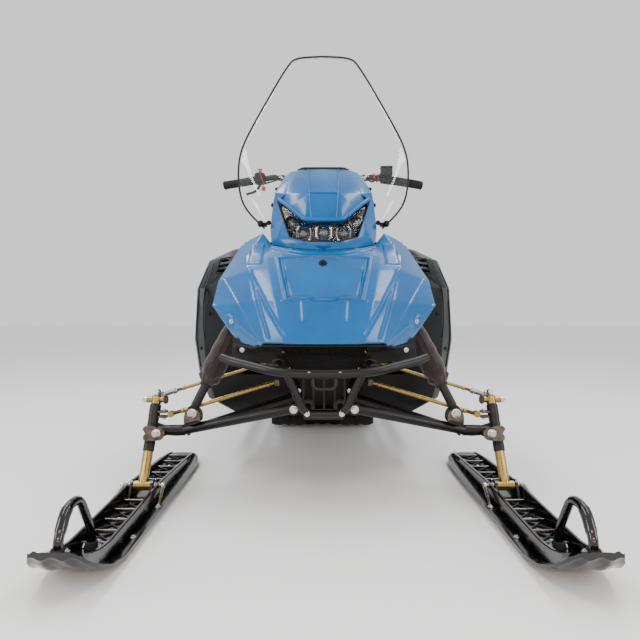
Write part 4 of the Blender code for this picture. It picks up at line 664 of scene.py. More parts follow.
def buildPod():
    softened("headlight_pod", 3.0, segments=3)
    outline = np.array(pod["opening"])
    upper = np.concatenate([outline[3:], outline[3:-1][::-1] * (-1, 1)])
    points, normals = castOnto("headlight_pod", alongOutline(upper, 60, 0.0040))
    path = points + normals * 0.0006
    path = np.stack([np.convolve(np.pad(path[:, k], 2, "edge"), np.ones(5) / 5, "valid")
        for k in range(3)], 1)
    addPiece("visorLip", tube(path, pod["lipRadius"], 12, up=(0, 1, 0)), "blue_gloss_shell")
    full = np.concatenate([outline, outline[1:-1][::-1] * (-1, 1), outline[:1]])
    points, normals = castOnto("headlight_pod", alongOutline(full, 120, 0.0012))
    addPiece("lampGasket", tube(points, pod["gasketRadius"], 8, closed=True, up=(0, 1, 0)), "rubber")
    seams = []
    for table in pod["seams"]:
        dense = smoothPath(table, 24)
        points, normals = castOnto("headlight_pod", dense[:, [0, 2]])
        seams.append(tube(points + normals * 0.0006, pod["seamRadius"] * 2, 8, up=(0, 1, 0)))
    dense = smoothPath(pod["crease"], 20)
    points, normals = castOnto("headlight_pod", dense[:, [0, 2]])
    shapes = [both(seam) for seam in seams]
    shapes.append(tube(points + normals * 0.0006, pod["seamRadius"] * 2, 8, up=(0, 1, 0)))
    addPiece("podRidges", shapes, "blue_gloss_shell")
    dash = roundedPath(symmetric([(-0.088, 0.352, 1.0600), (-0.070, 0.344, 1.0655)]), 0.02)
    addPiece("podDashEdge", tube(dash, 0.0062, 12, up=(0, 1, 0), flatten=1.5), "rubber")


# Lamps behind the clear lens

lamps = {
    "places": ((-0.103, 0.852, 0.0215, 0.188), (-0.062, 0.815, 0.0215, 0.153), (0.0, 0.816, 0.0225, 0.138),
               (0.062, 0.815, 0.0215, 0.153), (0.103, 0.852, 0.0215, 0.188)),   # x, height, radius, station
    "bezelSides": 40, "squareness": 4.0,
}


def roundedSquare(radius, depth, exponent, sides):
    # Superellipse ring: |x|^n + |y|^n = r^n, in its own plane at the depth.
    a = np.linspace(0, 2 * np.pi, sides, endpoint=False)
    stretch = (np.abs(np.cos(a)) ** exponent + np.abs(np.sin(a)) ** exponent) ** (-1 / exponent)
    return np.stack([radius * stretch * np.cos(a), radius * stretch * np.sin(a), np.full(sides, depth)], 1)


def squareProfile(steps, exponent, sides):
    points = np.concatenate([roundedSquare(max(radius, 1e-5), depth, exponent, sides)
        for radius, depth in steps])
    return points, gridFaces(len(steps), sides, wrapColumns=True)


def buildLamps():
    bezels, bowls, domes = [], [], []
    ahead = (0.0, -1.0, 0.0)
    for x, z, radius, station in lamps["places"]:
        place = spot(x, station, z)
        ring = [(radius * 0.98, -0.020), (radius * 1.10, -0.004), (radius * 1.14, 0.004),
            (radius * 1.04, 0.0055), (radius * 0.86, 0.002), (radius * 0.80, -0.010),
            (radius * 0.80, -0.020), (radius * 0.98, -0.020)]
        bezels.append(moved(squareProfile(ring, lamps["squareness"], lamps["bezelSides"]), place, ahead))
        bowls.append(disc(place, ahead, [(0, -0.012), (radius * 0.5, -0.010), (radius * 0.8, -0.002),
            (radius * 0.86, 0.0022), (radius * 0.82, -0.012), (0, -0.014)], 32))
        curve = np.linspace(0, np.pi / 2, 8)
        dome = [(0, -0.008), (radius * 0.72, -0.008)]
        dome += [(radius * 0.72 * math.cos(a), -0.006 + radius * 0.55 * math.sin(a)) for a in curve[:-1]]
        dome.append((0, -0.006 + radius * 0.55))
        domes.append(disc(place, ahead, dome, 32))
    addPiece("lampBezels", bezels, "black_gloss_plastic", material=chromedPlastic)
    addPiece("lampReflectors", bowls, "black_gloss_plastic", material=chromedPlastic)
    addPiece("lampDomes", domes, "clear_plastic", material=projectorGlass)
    softened("headlight_unit", 1.0)
    softened("headlight_lens", 0.6, lensPlastic, segments=1)
    fins = []
    for x in (-0.033, -0.027, 0.027, 0.033, -0.088, 0.088):
        station = 0.168 if abs(x) < 0.05 else 0.190
        fins.append(block(spot(x, station + 0.018, 0.819), (0.0022, 0.060, 0.052)))
    addPiece("lampFins", fins, "black_gloss_plastic")


# Windshield: a strip between a line hidden in the pod and the outer outline, bowed forward

windshield = {
    "inner": ((0.162, 0.290, 0.858), (0.157, 0.300, 0.912), (0.148, 0.312, 0.966), (0.130, 0.366, 1.028),
              (0.112, 0.378, 1.040), (0.080, 0.380, 1.044), (0.050, 0.380, 1.045), (0.030, 0.380, 1.045),
              (0.0, 0.380, 1.045)),
    "outer": ((0.203, 0.310, 0.853), (0.268, 0.330, 0.917), (0.293, 0.345, 0.974), (0.302, 0.360, 1.062),
              (0.293, 0.385, 1.149), (0.238, 0.420, 1.270), (0.130, 0.485, 1.487), (0.098, 0.498, 1.516),
              (0.0, 0.500, 1.521)),
    "bow": 0.020, "acrossPoints": 22, "wall": 0.003, "trimRadius": 0.0034,
    "screws": ((0.186, 0.868), (0.172, 0.930), (0.160, 0.990)),
}


def roundedOutline(table, passes=3):
    # Corner cutting: every run keeps its points at one and three quarters, the ends stay.
    points = np.array(table, float)
    for _ in range(passes):
        cut = np.stack([points[:-1] * 0.75 + points[1:] * 0.25, points[:-1] * 0.25 + points[1:] * 0.75], 1)
        points = np.concatenate([points[:1], cut.reshape(-1, points.shape[1]), points[-1:]])
    return points


def buildWindshield():
    inner, outer = roundedOutline(windshield["inner"]), roundedOutline(windshield["outer"])
    share = np.linspace(0, 1, windshield["acrossPoints"])[None, :, None]
    half = inner[:, None] * (1 - share) + outer[:, None] * share
    half[..., 1] -= windshield["bow"] * np.sin(np.pi * share[..., 0])
    grid = np.concatenate([half, half[:-1][::-1] * (-1, 1, 1)]) + np.array([0, pivotY, 0])
    sheet = addPiece("windshieldSheet", gridShape(grid), "clear_plastic", angle=60, node="windshield")
    walled(sheet, windshield["wall"], 0.0)
    rim = grid[:, -1]
    addPiece("windshieldTrim", tube(rim, windshield["trimRadius"], 10, up=(0, 1, 0)), "rubber")


def buildWindshieldMounts():
    places = [(p, facingFront(n)) for p, n in zip(*castOnto("windshield", windshield["screws"]))]
    heads = joined([disc(p, n, [(0.0085, 0), (0.0085, 0.0015), (0.006, 0.0042), (0.0024, 0.0046),
        (0.0018, 0.003)], 20) for p, n in places])
    addPiece("windshieldScrews", both(heads), "black_plastic")
    clamp = block(spot(0.208, 0.296, 0.864), (0.030, 0.018, 0.014))
    knob = disc(spot(0.214, 0.287, 0.866), (0.3, -1, 0.1), [(0.010, 0), (0.011, 0.004), (0.008, 0.010),
        (0, 0.011)], 18)
    addPiece("windshieldClamps", both(joined([clamp, knob])), "black_plastic")


# Side panels, belly pan and grille: rounded shapes with their meshes, creases and fasteners

panels = {
    "intake": ((0.309, 0.694), (0.356, 0.694), (0.352, 0.712), (0.348, 0.744), (0.308, 0.750)),
    "creases": (((0.398, 0.716), (0.425, 0.640), (0.441, 0.500), (0.428, 0.372)),
                ((0.372, 0.730), (0.388, 0.655), (0.404, 0.560), (0.402, 0.480))),
    "creaseRadius": 0.0022,
    "screws": ((0.380, 0.560), (0.420, 0.440), (0.318, 0.420)),
}


def wovenWires(low, high, pitch, wire, station):
    # Two sets of wires crossing at right angles, turned 45 degrees, in a plane across the machine.
    (x0, z0), (x1, z1) = low, high
    shapes = []
    reach = z1 - z0
    for start in np.arange(x0 - reach, x1, pitch):
        for side in (1, -1):
            a = np.array([start if side > 0 else x0 + x1 - start, z0])
            b = a + np.array([side * reach, reach])
            t = [(edge - a[0]) / (b[0] - a[0]) for edge in (x0, x1)]
            t0, t1 = max(0.0, min(t)), min(1.0, max(t))
            if t1 - t0 > 0.02:
                ends = [a + (b - a) * t0, a + (b - a) * t1]
                path = [spot(e[0], station + side * wire * 0.5, e[1]) for e in ends]
                shapes.append(tube(path, wire, 6, up=(0, 1, 0)))
    return joined(shapes)


def buildSidePanels():
    for side in ("left", "right"):
        softened("side_panel_" + side, 3.0, segments=3)
    shapes = []
    for table in panels["creases"]:
        dense = smoothPath([(x, 0, z) for x, z in table], 40)
        points, normals = castOnto("side_panel_left", dense[:, [0, 2]])
        shapes.append(tube(points + normals * 0.0004, panels["creaseRadius"], 8, up=(0, 1, 0)))
    addPiece("panelCreases", both(joined(shapes)), "slate_plastic")
    outline = np.array(panels["intake"] + panels["intake"][:1])
    points, normals = castOnto("side_panel_left", alongOutline(outline, 60))
    rim = tube(points, 0.0024, 8, closed=True, up=(0, 1, 0))
    addPiece("intakeRims", both(rim), "black_plastic")
    inside = np.array([[0.312, 0.700], [0.350, 0.700], [0.345, 0.742], [0.312, 0.744]])
    corners, normals = castOnto("side_panel_left", inside)
    if len(corners) == 4:
        grid = sampled(corners[[0, 1, 3, 2]].reshape(2, 2, 3), 12, 14) + np.mean(normals, 0) * 0.0009
        sheet = addPiece("intakeScreens", both(gridShape(grid)), "black_plastic", material=intakeMesh)
        walled(sheet, 0.0008, 0.0)
    seats = [(p, facingFront(n)) for p, n in zip(*castOnto("side_panel_left", panels["screws"]))]
    addPiece("panelScrews", both(bolts(seats, 0.005)), "black_plastic")


front = {"grilleLow": 0.408, "grilleHigh": 0.505, "grilleHalf": 0.122, "pitch": 0.0072, "wire": 0.0010}


def buildFrontGrille():
    wires = wovenWires((-front["grilleHalf"], front["grilleLow"]),
        (front["grilleHalf"], front["grilleHigh"]), front["pitch"], front["wire"], -0.0690)
    addPiece("grilleMesh", wires, "black_plastic")
    softened("front_grille", 0.8, segments=1)
    seats = [(spot(x, -0.0652, z), (0, -1, 0)) for x in (-0.232, -0.150, 0.150, 0.232)
        for z in ((0.4615,) if abs(x) > 0.2 else (0.478,))]
    addBolts("linerFasteners", seats, 0.0052)
    u, v = np.linspace(0, 1, 30)[None, :], np.linspace(0, 1, 14)[:, None]
    x = 0.119 + 0.146 * u + 0.0 * v
    station = -0.0630 + 0.032 * u ** 2 - 0.010 * v * (1 - u) - 0.004 * ridge(v - 0.5, 0.25)
    z = (0.418 + 0.016 * u) + v * (0.058 + 0.004 * u)
    skirt = np.stack([x, station + pivotY, z], -1)
    made = addPiece("linerSkirt", both(gridShape(skirt)), "black_plastic")
    walled(made, 0.002, 0.0)
    lip = symmetric([(-0.255, -0.032, 0.475), (-0.200, -0.091, 0.471), (-0.158, -0.136, 0.479),
        (0, -0.154, 0.479)])
    addPiece("hoodEdgeSeal", tube(smoothPath(lip, 60), 0.0038, 10, up=(0, 0, 1)), "rubber")


# Front bumper: bent tube with a lower brace, feet, hook plate and bolts

bumper = {
    "diameter": 0.024, "half": 0.280, "drop": 0.028, "height": 0.440, "station": -0.215,
    "plate": ((0.110, 0.030, 0.005), (0.0, -0.190, 0.3995)),
}


def buildBumper():
    s, z, half, d = bumper["station"], bumper["height"], bumper["half"], bumper["diameter"]
    low = z - bumper["drop"]
    bar = symmetric([(-half, s + 0.105, z + 0.004), (0.030 - half, s + 0.085, z - 0.004),
        (-0.115, s + 0.012, low), (0, s + 0.010, low - 0.003)])
    brace = symmetric([(-0.098, s + 0.015, z - 0.028), (-0.060, s + 0.035, 0.318), (-0.042, s + 0.045, 0.3)])
    shapes = [bent(bar, d, 0.05, 24), bent(brace, d * 0.9, 0.02, 20, up=(0, 1, 0))]
    for x, low in ((0.128, z - 0.016), (0.046, 0.302)):
        start = s + (0.030 if x > 0.1 else 0.045)
        shapes.append(both(bent([spot(x, start, low), spot(x, -0.061, low)], d * 0.85, sides=18)))
        shapes.append(both(disc(spot(x, -0.0605, low), (0, -1, 0),
            [(0.020, 0), (0.020, 0.004), (0.0125, 0.008)], 24)))
    caps = both(disc(spot(half, s + 0.105, z + 0.004), (0.83, 0.55, 0.0),
        [(d * 0.5, -0.002), (d * 0.5, 0.001), (d * 0.4, 0.004), (0, 0.005)], 24))
    addPiece("bumperTubes", shapes, "black_painted_steel", node="front_bumper")
    addPiece("bumperCaps", caps, "rubber")
    size, place = bumper["plate"]
    plate = block(spot(*place), size)
    hook = roundedPath(symmetric([(-0.030, s + 0.010, 0.410), (-0.030, s + 0.006, 0.372)]), 0.016)
    gusset = both(block(spot(0.082, s + 0.024, 0.372), (0.004, 0.016, 0.052), turnTo((0, 0, 1))))
    addPiece("bumperHookPlate", [plate, tube(hook, 0.0045, 12, up=(0, 1, 0)), gusset],
        "black_painted_steel")
    seats = [(spot(x, s + 0.0005 + abs(x) * 0.1, z - 0.028), (0, -1, 0))
        for x in (-0.098, -0.040, 0.040, 0.098)]
    seats += [(spot(x, s + 0.0335, 0.302), (0, -1, 0)) for x in (-0.046, 0.046)]
    addBolts("bumperBolts", seats, 0.0055)


# Bulkhead: folded plate with stiffening ribs, slots and pivot bolts

def buildBulkhead():
    softened("bulkhead", 2.0)
    ribs = []
    for x, top in ((0.0, 0.440), (0.030, 0.436), (0.058, 0.420)):
        rib = block(spot(x, -0.0625, (0.290 + top) / 2), (0.006, 0.005, top - 0.290))
        ribs.append(rib if x == 0 else both(rib))
    ribs.append(block(spot(0, -0.063, 0.292), (0.100, 0.006, 0.006)))
    ribs.append(block(spot(0, -0.063, 0.432), (0.205, 0.006, 0.006)))
    addPiece("bulkheadRibs", ribs, "black_painted_steel")
    places = ((0.118, 0.455), (0.100, 0.405), (0.072, 0.345), (0.047, 0.276), (0.015, 0.276))
    seats = [(spot(side * x, -0.0605, z), (0, -1, 0)) for x, z in places for side in (-1, 1)]
    addBolts("bulkheadBolts", seats, 0.0048)
    softened("belly_pan", 4.0, segments=3)


# Kingpin line and arms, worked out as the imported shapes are

skiMiddle = 0.535
kingLow = spot(skiMiddle, 0.0, 0.056)
kingTop = spot(0.515, 0.090, 0.311)


def kingpin(share):
    return kingLow + (kingTop - kingLow) * share


kingAxis = unit(kingTop - kingLow)

spindle = {"sleeve": (0.50, 0.885), "arm": 0.078}    # the sleeve's ends as shares of the kingpin


def buildSpindles():
    length = np.linalg.norm(kingTop - kingLow)
    leg = revolved([(0, 0.0), (0.0145, 0.0), (0.0145, 0.118), (0.0152, 0.121), (0.0152, 0.1265),
        (0.009, 0.1275), (0.009, length * 1.018), (0.0075, length * 1.022), (0, length * 1.022)], 28)
    shapes = [moved(leg, kingLow, kingAxis)]
    shapes.append(disc(kingLow - (0.0262, 0, 0), (1, 0, 0), [(0.0135, 0), (0.0145, 0.001),
        (0.0145, 0.0514), (0.0135, 0.0524)], 28))
    shapes.append(disc(kingLow - (0.0375, 0, 0), (1, 0, 0), [(0.0055, 0), (0.006, 0.0005), (0.006, 0.0745),
        (0.0055, 0.075)], 20))
    for ridges in ((-0.010, -0.0155, -0.0135), (0.010, 0.0150, 0.0130)):
        line = [kingpin(share) + (0, y, 0) for share, y in zip((0.07, 0.26, 0.44), ridges)]
        shapes.append(tube(line, [0.0052, 0.0046, 0.0024], 10, up=(1, 0, 0)))
    collar = spindle["sleeve"][1]
    shapes.append(disc(kingpin(collar + 0.004), kingAxis, [(0.0135, 0), (0.0145, 0.001), (0.0145, 0.008),
        (0.0105, 0.0095)], 24))
    root = kingpin(0.96)
    end = root + np.array([0.010, spindle["arm"], -0.004])
    shapes.append(tube(smoothPath([root - (0, 0.012, 0), root + (0.001, 0.012, 0), (root + end) / 2, end],
        24), np.linspace(0.0116, 0.0092, 24), 18, up=(0, 0, 1)))
    shapes.append(disc(kingpin(0.945) - (0.0230, 0, 0), (1, 0, 0),
        [(0.0088, 0), (0.0094, 0.0008), (0.0094, 0.0505), (0.0088, 0.0513)], 24))
    shapes.append(disc(root - kingAxis * 0.012, kingAxis, [(0.0142, 0), (0.0146, 0.001), (0.0146, 0.0175),
        (0.0138, 0.0185)], 24))
    addPair("spindleForged", shapes, "zinc_yellow_steel", "spindle", node="spindle")
    over = disc(kingpin(0.365), kingAxis, [(0.0150, 0), (0.0166, 0.0015), (0.0166, 0.030),
        (0.0156, 0.0315)], 28)
    addPair("spindleSleeve", over, "black_painted_steel", "spindle")
    cross = kingpin(0.945)
    cone = disc(cross + (0.0285, 0, 0), (1, 0, 0), [(0.0098, 0), (0.0098, 0.0030), (0.0085, 0.0040),
        (0.0085, 0.0080), (0.0030, 0.0150), (0, 0.0155)], 24)
    a = np.linspace(-np.pi / 2, np.pi / 2, 13)
    ball = disc(kingpin(1.0), kingAxis, np.stack([np.cos(a) * 0.0098, 0.009 + np.sin(a) * 0.0098], 1), 24)
    hexNut = moved(revolved([(0, -0.002), (0.0122, -0.002), (0.0128, 0), (0.0122, 0.0048), (0, 0.0048)],
        6), kingpin(1.0), kingAxis)
    addPair("spindleBallStud", [cone, ball, hexNut], "zinc_yellow_steel", "spindle", material=boltSteel)
    rings = [disc(cross - (0.0230 + number * 0.0042, 0, 0), (-1, 0, 0),
        [(r, 0), (r + 0.0006, 0.0010), (r, 0.0028)], 24) for number, r in enumerate(
        (0.0122, 0.0138, 0.0112))]
    addPair("spindleWashers", rings, "zinc_yellow_steel", "spindle", material=castSteel)
    seats = [(kingLow + (side * 0.0368, 0, 0), (side, 0, 0)) for side in (1, -1)]
    addBoltPair("skiPinNuts", seats, 0.0078, "spindle")


def plateShape(outline, place, low, high, rounding=3):
    # A plate facing the front: its outline, rounded, between two depths, its edges cut back.
    loop = np.array(outline, float)
    dense = np.concatenate([np.linspace(a, b, 6, endpoint=False) for a, b in zip(loop, np.roll(loop, -1, 0))])
    dense = blurredLoop(dense, rounding)
    middle, count = dense.mean(0), len(dense)
    rings = []
    for depth, share in ((low, 0.955), (low + 0.001, 1.0), (high - 0.001, 1.0), (high, 0.955)):
        flat = middle + (dense - middle) * share
        rings.append(np.column_stack([flat[:, 0], np.full(count, depth), flat[:, 1]]) + place)
    return np.concatenate(rings), closedFaces(4, count)


def buildKnuckles():
    low, high = spindle["sleeve"]
    start, end = kingpin(low), kingpin(high)
    length = np.linalg.norm(end - start)
    sleeve = revolved([(0.0094, 0.0004), (0.0158, 0.0), (0.017, 0.0015), (0.017, length * 0.3),
        (0.0162, length * 0.33), (0.0162, length * 0.62), (0.017, length * 0.65), (0.017, length - 0.0015),
        (0.0158, length), (0.0094, length - 0.0004)], 28)
    points, faces = moved(sleeve, start, kingAxis)
    sides = 28
    rings = 10
    faces += [[k, (k + 1) % sides, (rings - 1) * sides + (k + 1) % sides, (rings - 1) * sides + k]
        for k in range(sides)]
    shapes = [(points, faces)]
    addPair("knuckleTube", shapes, "black_painted_steel", node="knuckle")
    lower, upper = kingpin(0.585), kingpin(0.78)
    outline = ((0.0200, 0.0130), (0.0120, 0.0225), (-0.0120, 0.0215), (-0.0400, 0.0120), (-0.0460, 0.0),
        (-0.0440, -0.0130), (-0.0350, -0.0215), (0.0060, -0.0250), (0.0185, -0.0190), (0.0170, -0.0070),
        (0.0110, -0.0010), (0.0150, 0.0060))
    plates = [plateShape(outline, lower, low, low + 0.0065) for low in (-0.0300, 0.0235)]
    plates.append(block(lower - (0.024, 0, 0), (0.040, 0.046, 0.026), chamfer=0.3))
    for lift in (-1, 1):
        plates.append(block(upper - (0.0265, 0, -lift * 0.0075), (0.029, 0.022, 0.007), chamfer=0.25))
    addPair("knuckleCast", plates, "black_painted_steel", material=castSteel)
    seats = [(lower + (-0.0220, side * 0.0303, 0), (0, side, 0)) for side in (-1, 1)]
    addBoltPair("knucklePivotBolts", seats, 0.0098)
    seats = [(upper - (0.030, 0, side * 0.0110), (0, 0, -side)) for side in (-1, 1)]
    addBoltPair("knuckleBolts", seats, 0.0058)


arms = {"front": (-0.045, 0.292), "back": (0.205, 0.292), "diameter": 0.030, "rearDiameter": 0.024,
        "bushDiameter": 0.034, "shockShare": 0.80, "rodInner": (0.12, 0.20, 0.420), "rodDiameter": 0.011,
        "linkInner": (0.152, 0.13, 0.345), "linkDiameter": 0.013}


def armInnerX(height):
    slope = (0.145 - 0.055) / (0.470 - 0.262)
    return 0.055 + slope * (height - 0.262) + (arms["bushDiameter"] / 2 + 0.0003) * math.hypot(1, slope)


def armPoints():
    ear = kingpin(0.60) - (0.0553, 0, 0)
    (s0, z0), (s1, z1) = arms["front"], arms["back"]
    return ear, spot(armInnerX(z0), s0, z0), spot(armInnerX(z1), s1, z1)


def buildArms():
    ear, front, back = armPoints()
    shapes = [tube([front, ear - (0.040, 0, 0)], arms["diameter"] / 2, 24),
        tube([back, ear - (0.060, -0.004, 0)], arms["rearDiameter"] / 2, 20)]
    for place in (front, back):
        bush = [(0, -0.0200), (0.0155, -0.0200), (0.0170, -0.0185), (0.0170, 0.0185), (0.0155, 0.0200),
            (0, 0.0200)]
        shapes.append(disc(place, (0, 1, 0), bush, 24))
    shapes.append(tube([ear - (0.046, 0, 0.0), ear - (0.018, 0, 0.001), ear + (0.020, 0, 0)],
        [0.0165, 0.0170, 0.0150], 24))
    along = front + (ear - front) * arms["shockShare"]
    slope = (ear - front)[2] / (ear - front)[0]
    tab = [(-0.0245, 0.008 - 0.0245 * slope), (0.0245, 0.008 + 0.0245 * slope), (0.0245, 0.030),
        (0.0210, 0.046), (0.0100, 0.0545), (-0.0060, 0.0550), (-0.0190, 0.0490), (-0.0245, 0.036)]
    tabs = [plateShape(tab, along, low, low + 0.0055) for low in (-0.0225, 0.0170)]
    addPair("shockTabs", tabs, "black_painted_steel", material=castSteel)
    shapes.append(block(along + (0, 0, 0.013), (0.050, 0.044, 0.008), turnTo((-slope, 0, 1)), 0.2))
    shapes.append(tube([front + (ear - front) * 0.90, back + (ear - back) * 0.84], 0.008, 14))
    addPair("lowerArmTubes", shapes, "black_painted_steel", node="lower_arm")
    seats = [(place + (0, side * 0.0200, 0), (0, side, 0)) for place in (front, back) for side in (-1, 1)]
    addBoltPair("armBushBolts", seats, 0.0085)
    weld = [disc(ear - (0.0605, 0, 0), (1, 0, 0.2), [(0.015, -0.004), (0.0185, 0), (0.0175, 0.003),
        (0.015, -0.004)], 20)]
    addPair("armWelds", weld, "black_painted_steel")


def rodShape(start, end, diameter, threadLength=0.030):
    # A plain rod with a thicker threaded sleeve and lock nut at either end.
    run = end - start
    length = np.linalg.norm(run)
    radius = diameter / 2
    profile = [(0, 0.0), (radius * 0.8, 0.0)]
    grooves = np.arange(0.003, threadLength, 0.0022)
    for g in grooves:
        profile += [(radius * 0.82, g), (radius * 0.95, g + 0.0011)]
    profile += [(radius * 1.25, threadLength + 0.001), (radius * 1.25, threadLength + 0.008),
        (radius, threadLength + 0.010), (radius, threadLength + 0.012),
        (radius, length - threadLength - 0.002), (radius, length - threadLength),
        (radius * 1.25, length - threadLength + 0.001), (radius * 1.25, length - threadLength + 0.008),
        (radius * 0.85, length - threadLength + 0.010), (radius * 0.85, length), (0, length)]
    return moved(revolved(profile, 16), start, run)


def ballEnd(place, axis, radius):
    # A spherical rod end: a ring with a ball through it.
    ring = disc(place, axis, [(radius * 0.62, -radius * 0.5), (radius, -radius * 0.42),
        (radius, radius * 0.42), (radius * 0.62, radius * 0.5), (radius * 0.55, 0),
        (radius * 0.62, -radius * 0.5)], 24)
    a = np.linspace(-np.pi / 2, np.pi / 2, 9)
    ball = disc(place, axis, np.stack([np.cos(a) * radius * 0.6, np.sin(a) * radius * 0.6], 1), 20)
    return joined([ring, ball])


def buildRods():
    end = kingpin(0.96) + np.array([0.010, spindle["arm"], -0.004])
    joint = end + (0, 0.0136, 0)
    inner = spot(*arms["rodInner"])
    run = unit(inner - joint)
    shapes = [rodShape(joint + run * 0.050, inner - run * 0.001, arms["rodDiameter"], 0.020)]
    socket = disc(joint + run * 0.010, run, [(0.0072, 0), (0.0078, 0.004), (0.0078, 0.030),
        (0.0095, 0.031), (0.0095, 0.038), (0.0066, 0.039), (0.0066, 0.043)], 20)
    addPair("tieRodEnd", [ballEnd(joint, (0, 0, 1), 0.0135), socket], "zinc_yellow_steel", "tie_rod",
        material=boltSteel)
    addPair("tieRodBar", shapes, "zinc_yellow_steel", "tie_rod", node="tie_rod")
    seats = [(joint + (0, 0, side * 0.0062), (0, 0, side)) for side in (1, -1)]
    addBoltPair("tieRodNuts", seats, 0.0062, "tie_rod")
    ear = kingpin(0.78) - (0.0413, 0, 0)
    inner = spot(*arms["linkInner"])
    outer = ear + np.array([-0.012, 0, 0])
    shapes = [rodShape(outer, inner, arms["linkDiameter"]), disc(ear + (-0.010, -0.010, 0), (0, 1, 0),
        [(0.0098, 0), (0.010, 0.0005), (0.010, 0.0195), (0.0098, 0.020)], 20)]
    addPair("upperLinkBar", shapes, "zinc_yellow_steel", node="upper_link")
    brackets = [block(inner + (-0.006, 0, 0), (0.020, 0.026, 0.022), chamfer=0.2)]
    addPair("linkBrackets", brackets, "black_painted_steel", material=castSteel)


# Shock absorbers in gathered fabric sleeves

shock = {"top": (0.238, 0.125, 0.600), "coverRadius": 0.0350, "flat": (0.226, 0.300),
    "folds": 11, "foldDepth": 0.070, "around": 96, "along": 130, "from": 0.214, "to": 0.955,
    "coverWall": 0.0009}


def shockLine():
    ear, front, _ = armPoints()
    foot = front + (ear - front) * arms["shockShare"] + (0, 0, 0.0343 + 0.016)
    return foot, spot(*shock["top"])


def buildShocks():
    foot, top = shockLine()
    lean = unit(top - foot)
    length = np.linalg.norm(top - foot)
    body = revolved([(0, 0.004), (0.0105, 0.004), (0.0128, 0.010), (0.0134, 0.012),
        (0.0134, length * 0.985), (0.011, length * 0.99), (0, length * 0.99)], 28)
    eye = disc(foot - (0, 0.0150, 0), (0, 1, 0), [(0.0135, 0), (0.0145, 0.001), (0.0145, 0.029),
        (0.0135, 0.030)], 28)
    addPair("shockBody", [moved(body, foot, lean), eye], "black_painted_steel", node="shock")
    seats = [(foot + (0, -0.0228, -0.008), (0, -1, 0)), (foot + (0, 0.0228, -0.008), (0, 1, 0))]
    addBoltPair("shockFootBolts", seats, 0.0100)
    t = np.linspace(0, 1, shock["along"])[:, None]
    a = np.linspace(0, 2 * np.pi, shock["around"], endpoint=False)[None, :]
    swell = 0.46 + 0.54 * rise(t, 0.0, 0.11) - 0.12 * rise(t, 0.3, 0.8) - 0.22 * rise(t, 0.88, 1.0)
    nearEnds = np.exp(-t / 0.10) + 0.7 * np.exp((t - 1) / 0.10)
    gathers = shock["foldDepth"] * np.cos(shock["folds"] * a + 1.6 * np.sin(5 * t)) * nearEnds
    slump = 0.035 * np.sin(34 * t + 1.2 * np.cos(a) + 0.5 * np.sin(2 * a)) * (0.35 + rise(-t, -0.75, -0.2))
    creases = 0.030 * np.sin(3 * a + 9 * t) * np.sin(17 * t + 2 * np.sin(a))
    ripples = 0.060 * np.sin(52 * t + 2.2 * np.sin(2 * a + 6 * t)) * rise(-t, -0.34, -0.08)
    creases = creases + ripples * rise(t, 0.01, 0.06)
    radius = shock["coverRadius"] * swell * (1 + gathers + slump + creases) * 0.97
    turn = turnTo(lean)
    share = shock["from"] + (shock["to"] - shock["from"]) * t
    ring = np.stack([radius * np.cos(a), radius * np.sin(a), share * length * np.ones_like(a)], -1)
    points = (ring @ turn.T + foot).reshape(-1, 3)
    sleeve = (points, gridFaces(shock["along"], shock["around"], wrapColumns=True))
    made = addPair("shockSleeve", sleeve, "cover_fabric", node="shock_cover", angle=80)
    for piece in made:
        walled(piece, shock["coverWall"], 0.0)
    ties = []
    for at, size in ((0.006, 0.50), (0.975, 0.72)):
        place = foot + lean * length * (shock["from"] + (shock["to"] - shock["from"]) * at)
        ties.append(disc(place, lean, [(shock["coverRadius"] * size * 0.85, -0.004),
            (shock["coverRadius"] * size, -0.004), (shock["coverRadius"] * size * 1.05, 0),
            (shock["coverRadius"] * size, 0.004), (shock["coverRadius"] * size * 0.85, 0.004),
            (shock["coverRadius"] * size * 0.85, -0.004)], 40))
    bands = addPair("sleeveTies", ties, "cover_fabric", material=finishes["rubber"])
    side = unit(np.cross(lean, (0.0, 1.0, 0.0)))
    front = unit(np.cross(side, lean))
    front *= -np.sign(front[1])
    t = np.linspace(0.10, 0.90, 40)[:, None]
    run = foot + lean * length * (shock["from"] + (shock["to"] - shock["from"]) * t)
    hems = []
    for offset in (-0.008, 0.008):
        hem = run + front * shock["coverRadius"] * (0.975 - 0.12 * rise(t, 0.3, 0.8)) + side * offset
        hems.append(tube(hem, 0.0013, 8, up=tuple(front)))
    seams = addPair("sleeveSeams", hems, "cover_fabric")


# Skis: a section swept along the reach, with ribs, wear bar, pin stubs, struts and carrying handle

ski = {
    # reach, width share, sole lift, wall height, channel height
    "sections": ((-1.000, 0.52, 0.088, 0.012, 0.010), (-0.970, 0.70, 0.066, 0.020, 0.012),
                 (-0.890, 0.86, 0.034, 0.032, 0.014), (-0.790, 0.95, 0.010, 0.040, 0.016),
                 (-0.680, 1.00, 0.000, 0.042, 0.018), (-0.250, 1.00, 0.000, 0.046, 0.018),
                 (0.000, 1.00, 0.000, 0.050, 0.018), (0.350, 1.00, 0.000, 0.042, 0.018),
                 (0.800, 0.97, 0.000, 0.030, 0.016), (0.940, 0.84, 0.004, 0.020, 0.014),
                 (1.000, 0.60, 0.010, 0.012, 0.010)),
    "nose": 0.585, "tail": 0.48, "width": 0.165, "keelDepth": 0.012, "keelWidth": 0.026, "wall": 0.008,
    "spread": 0.096, "stations": 130, "lobeDepth": 0.014, "ribPitch": 0.074, "ribHeight": 0.007,
}


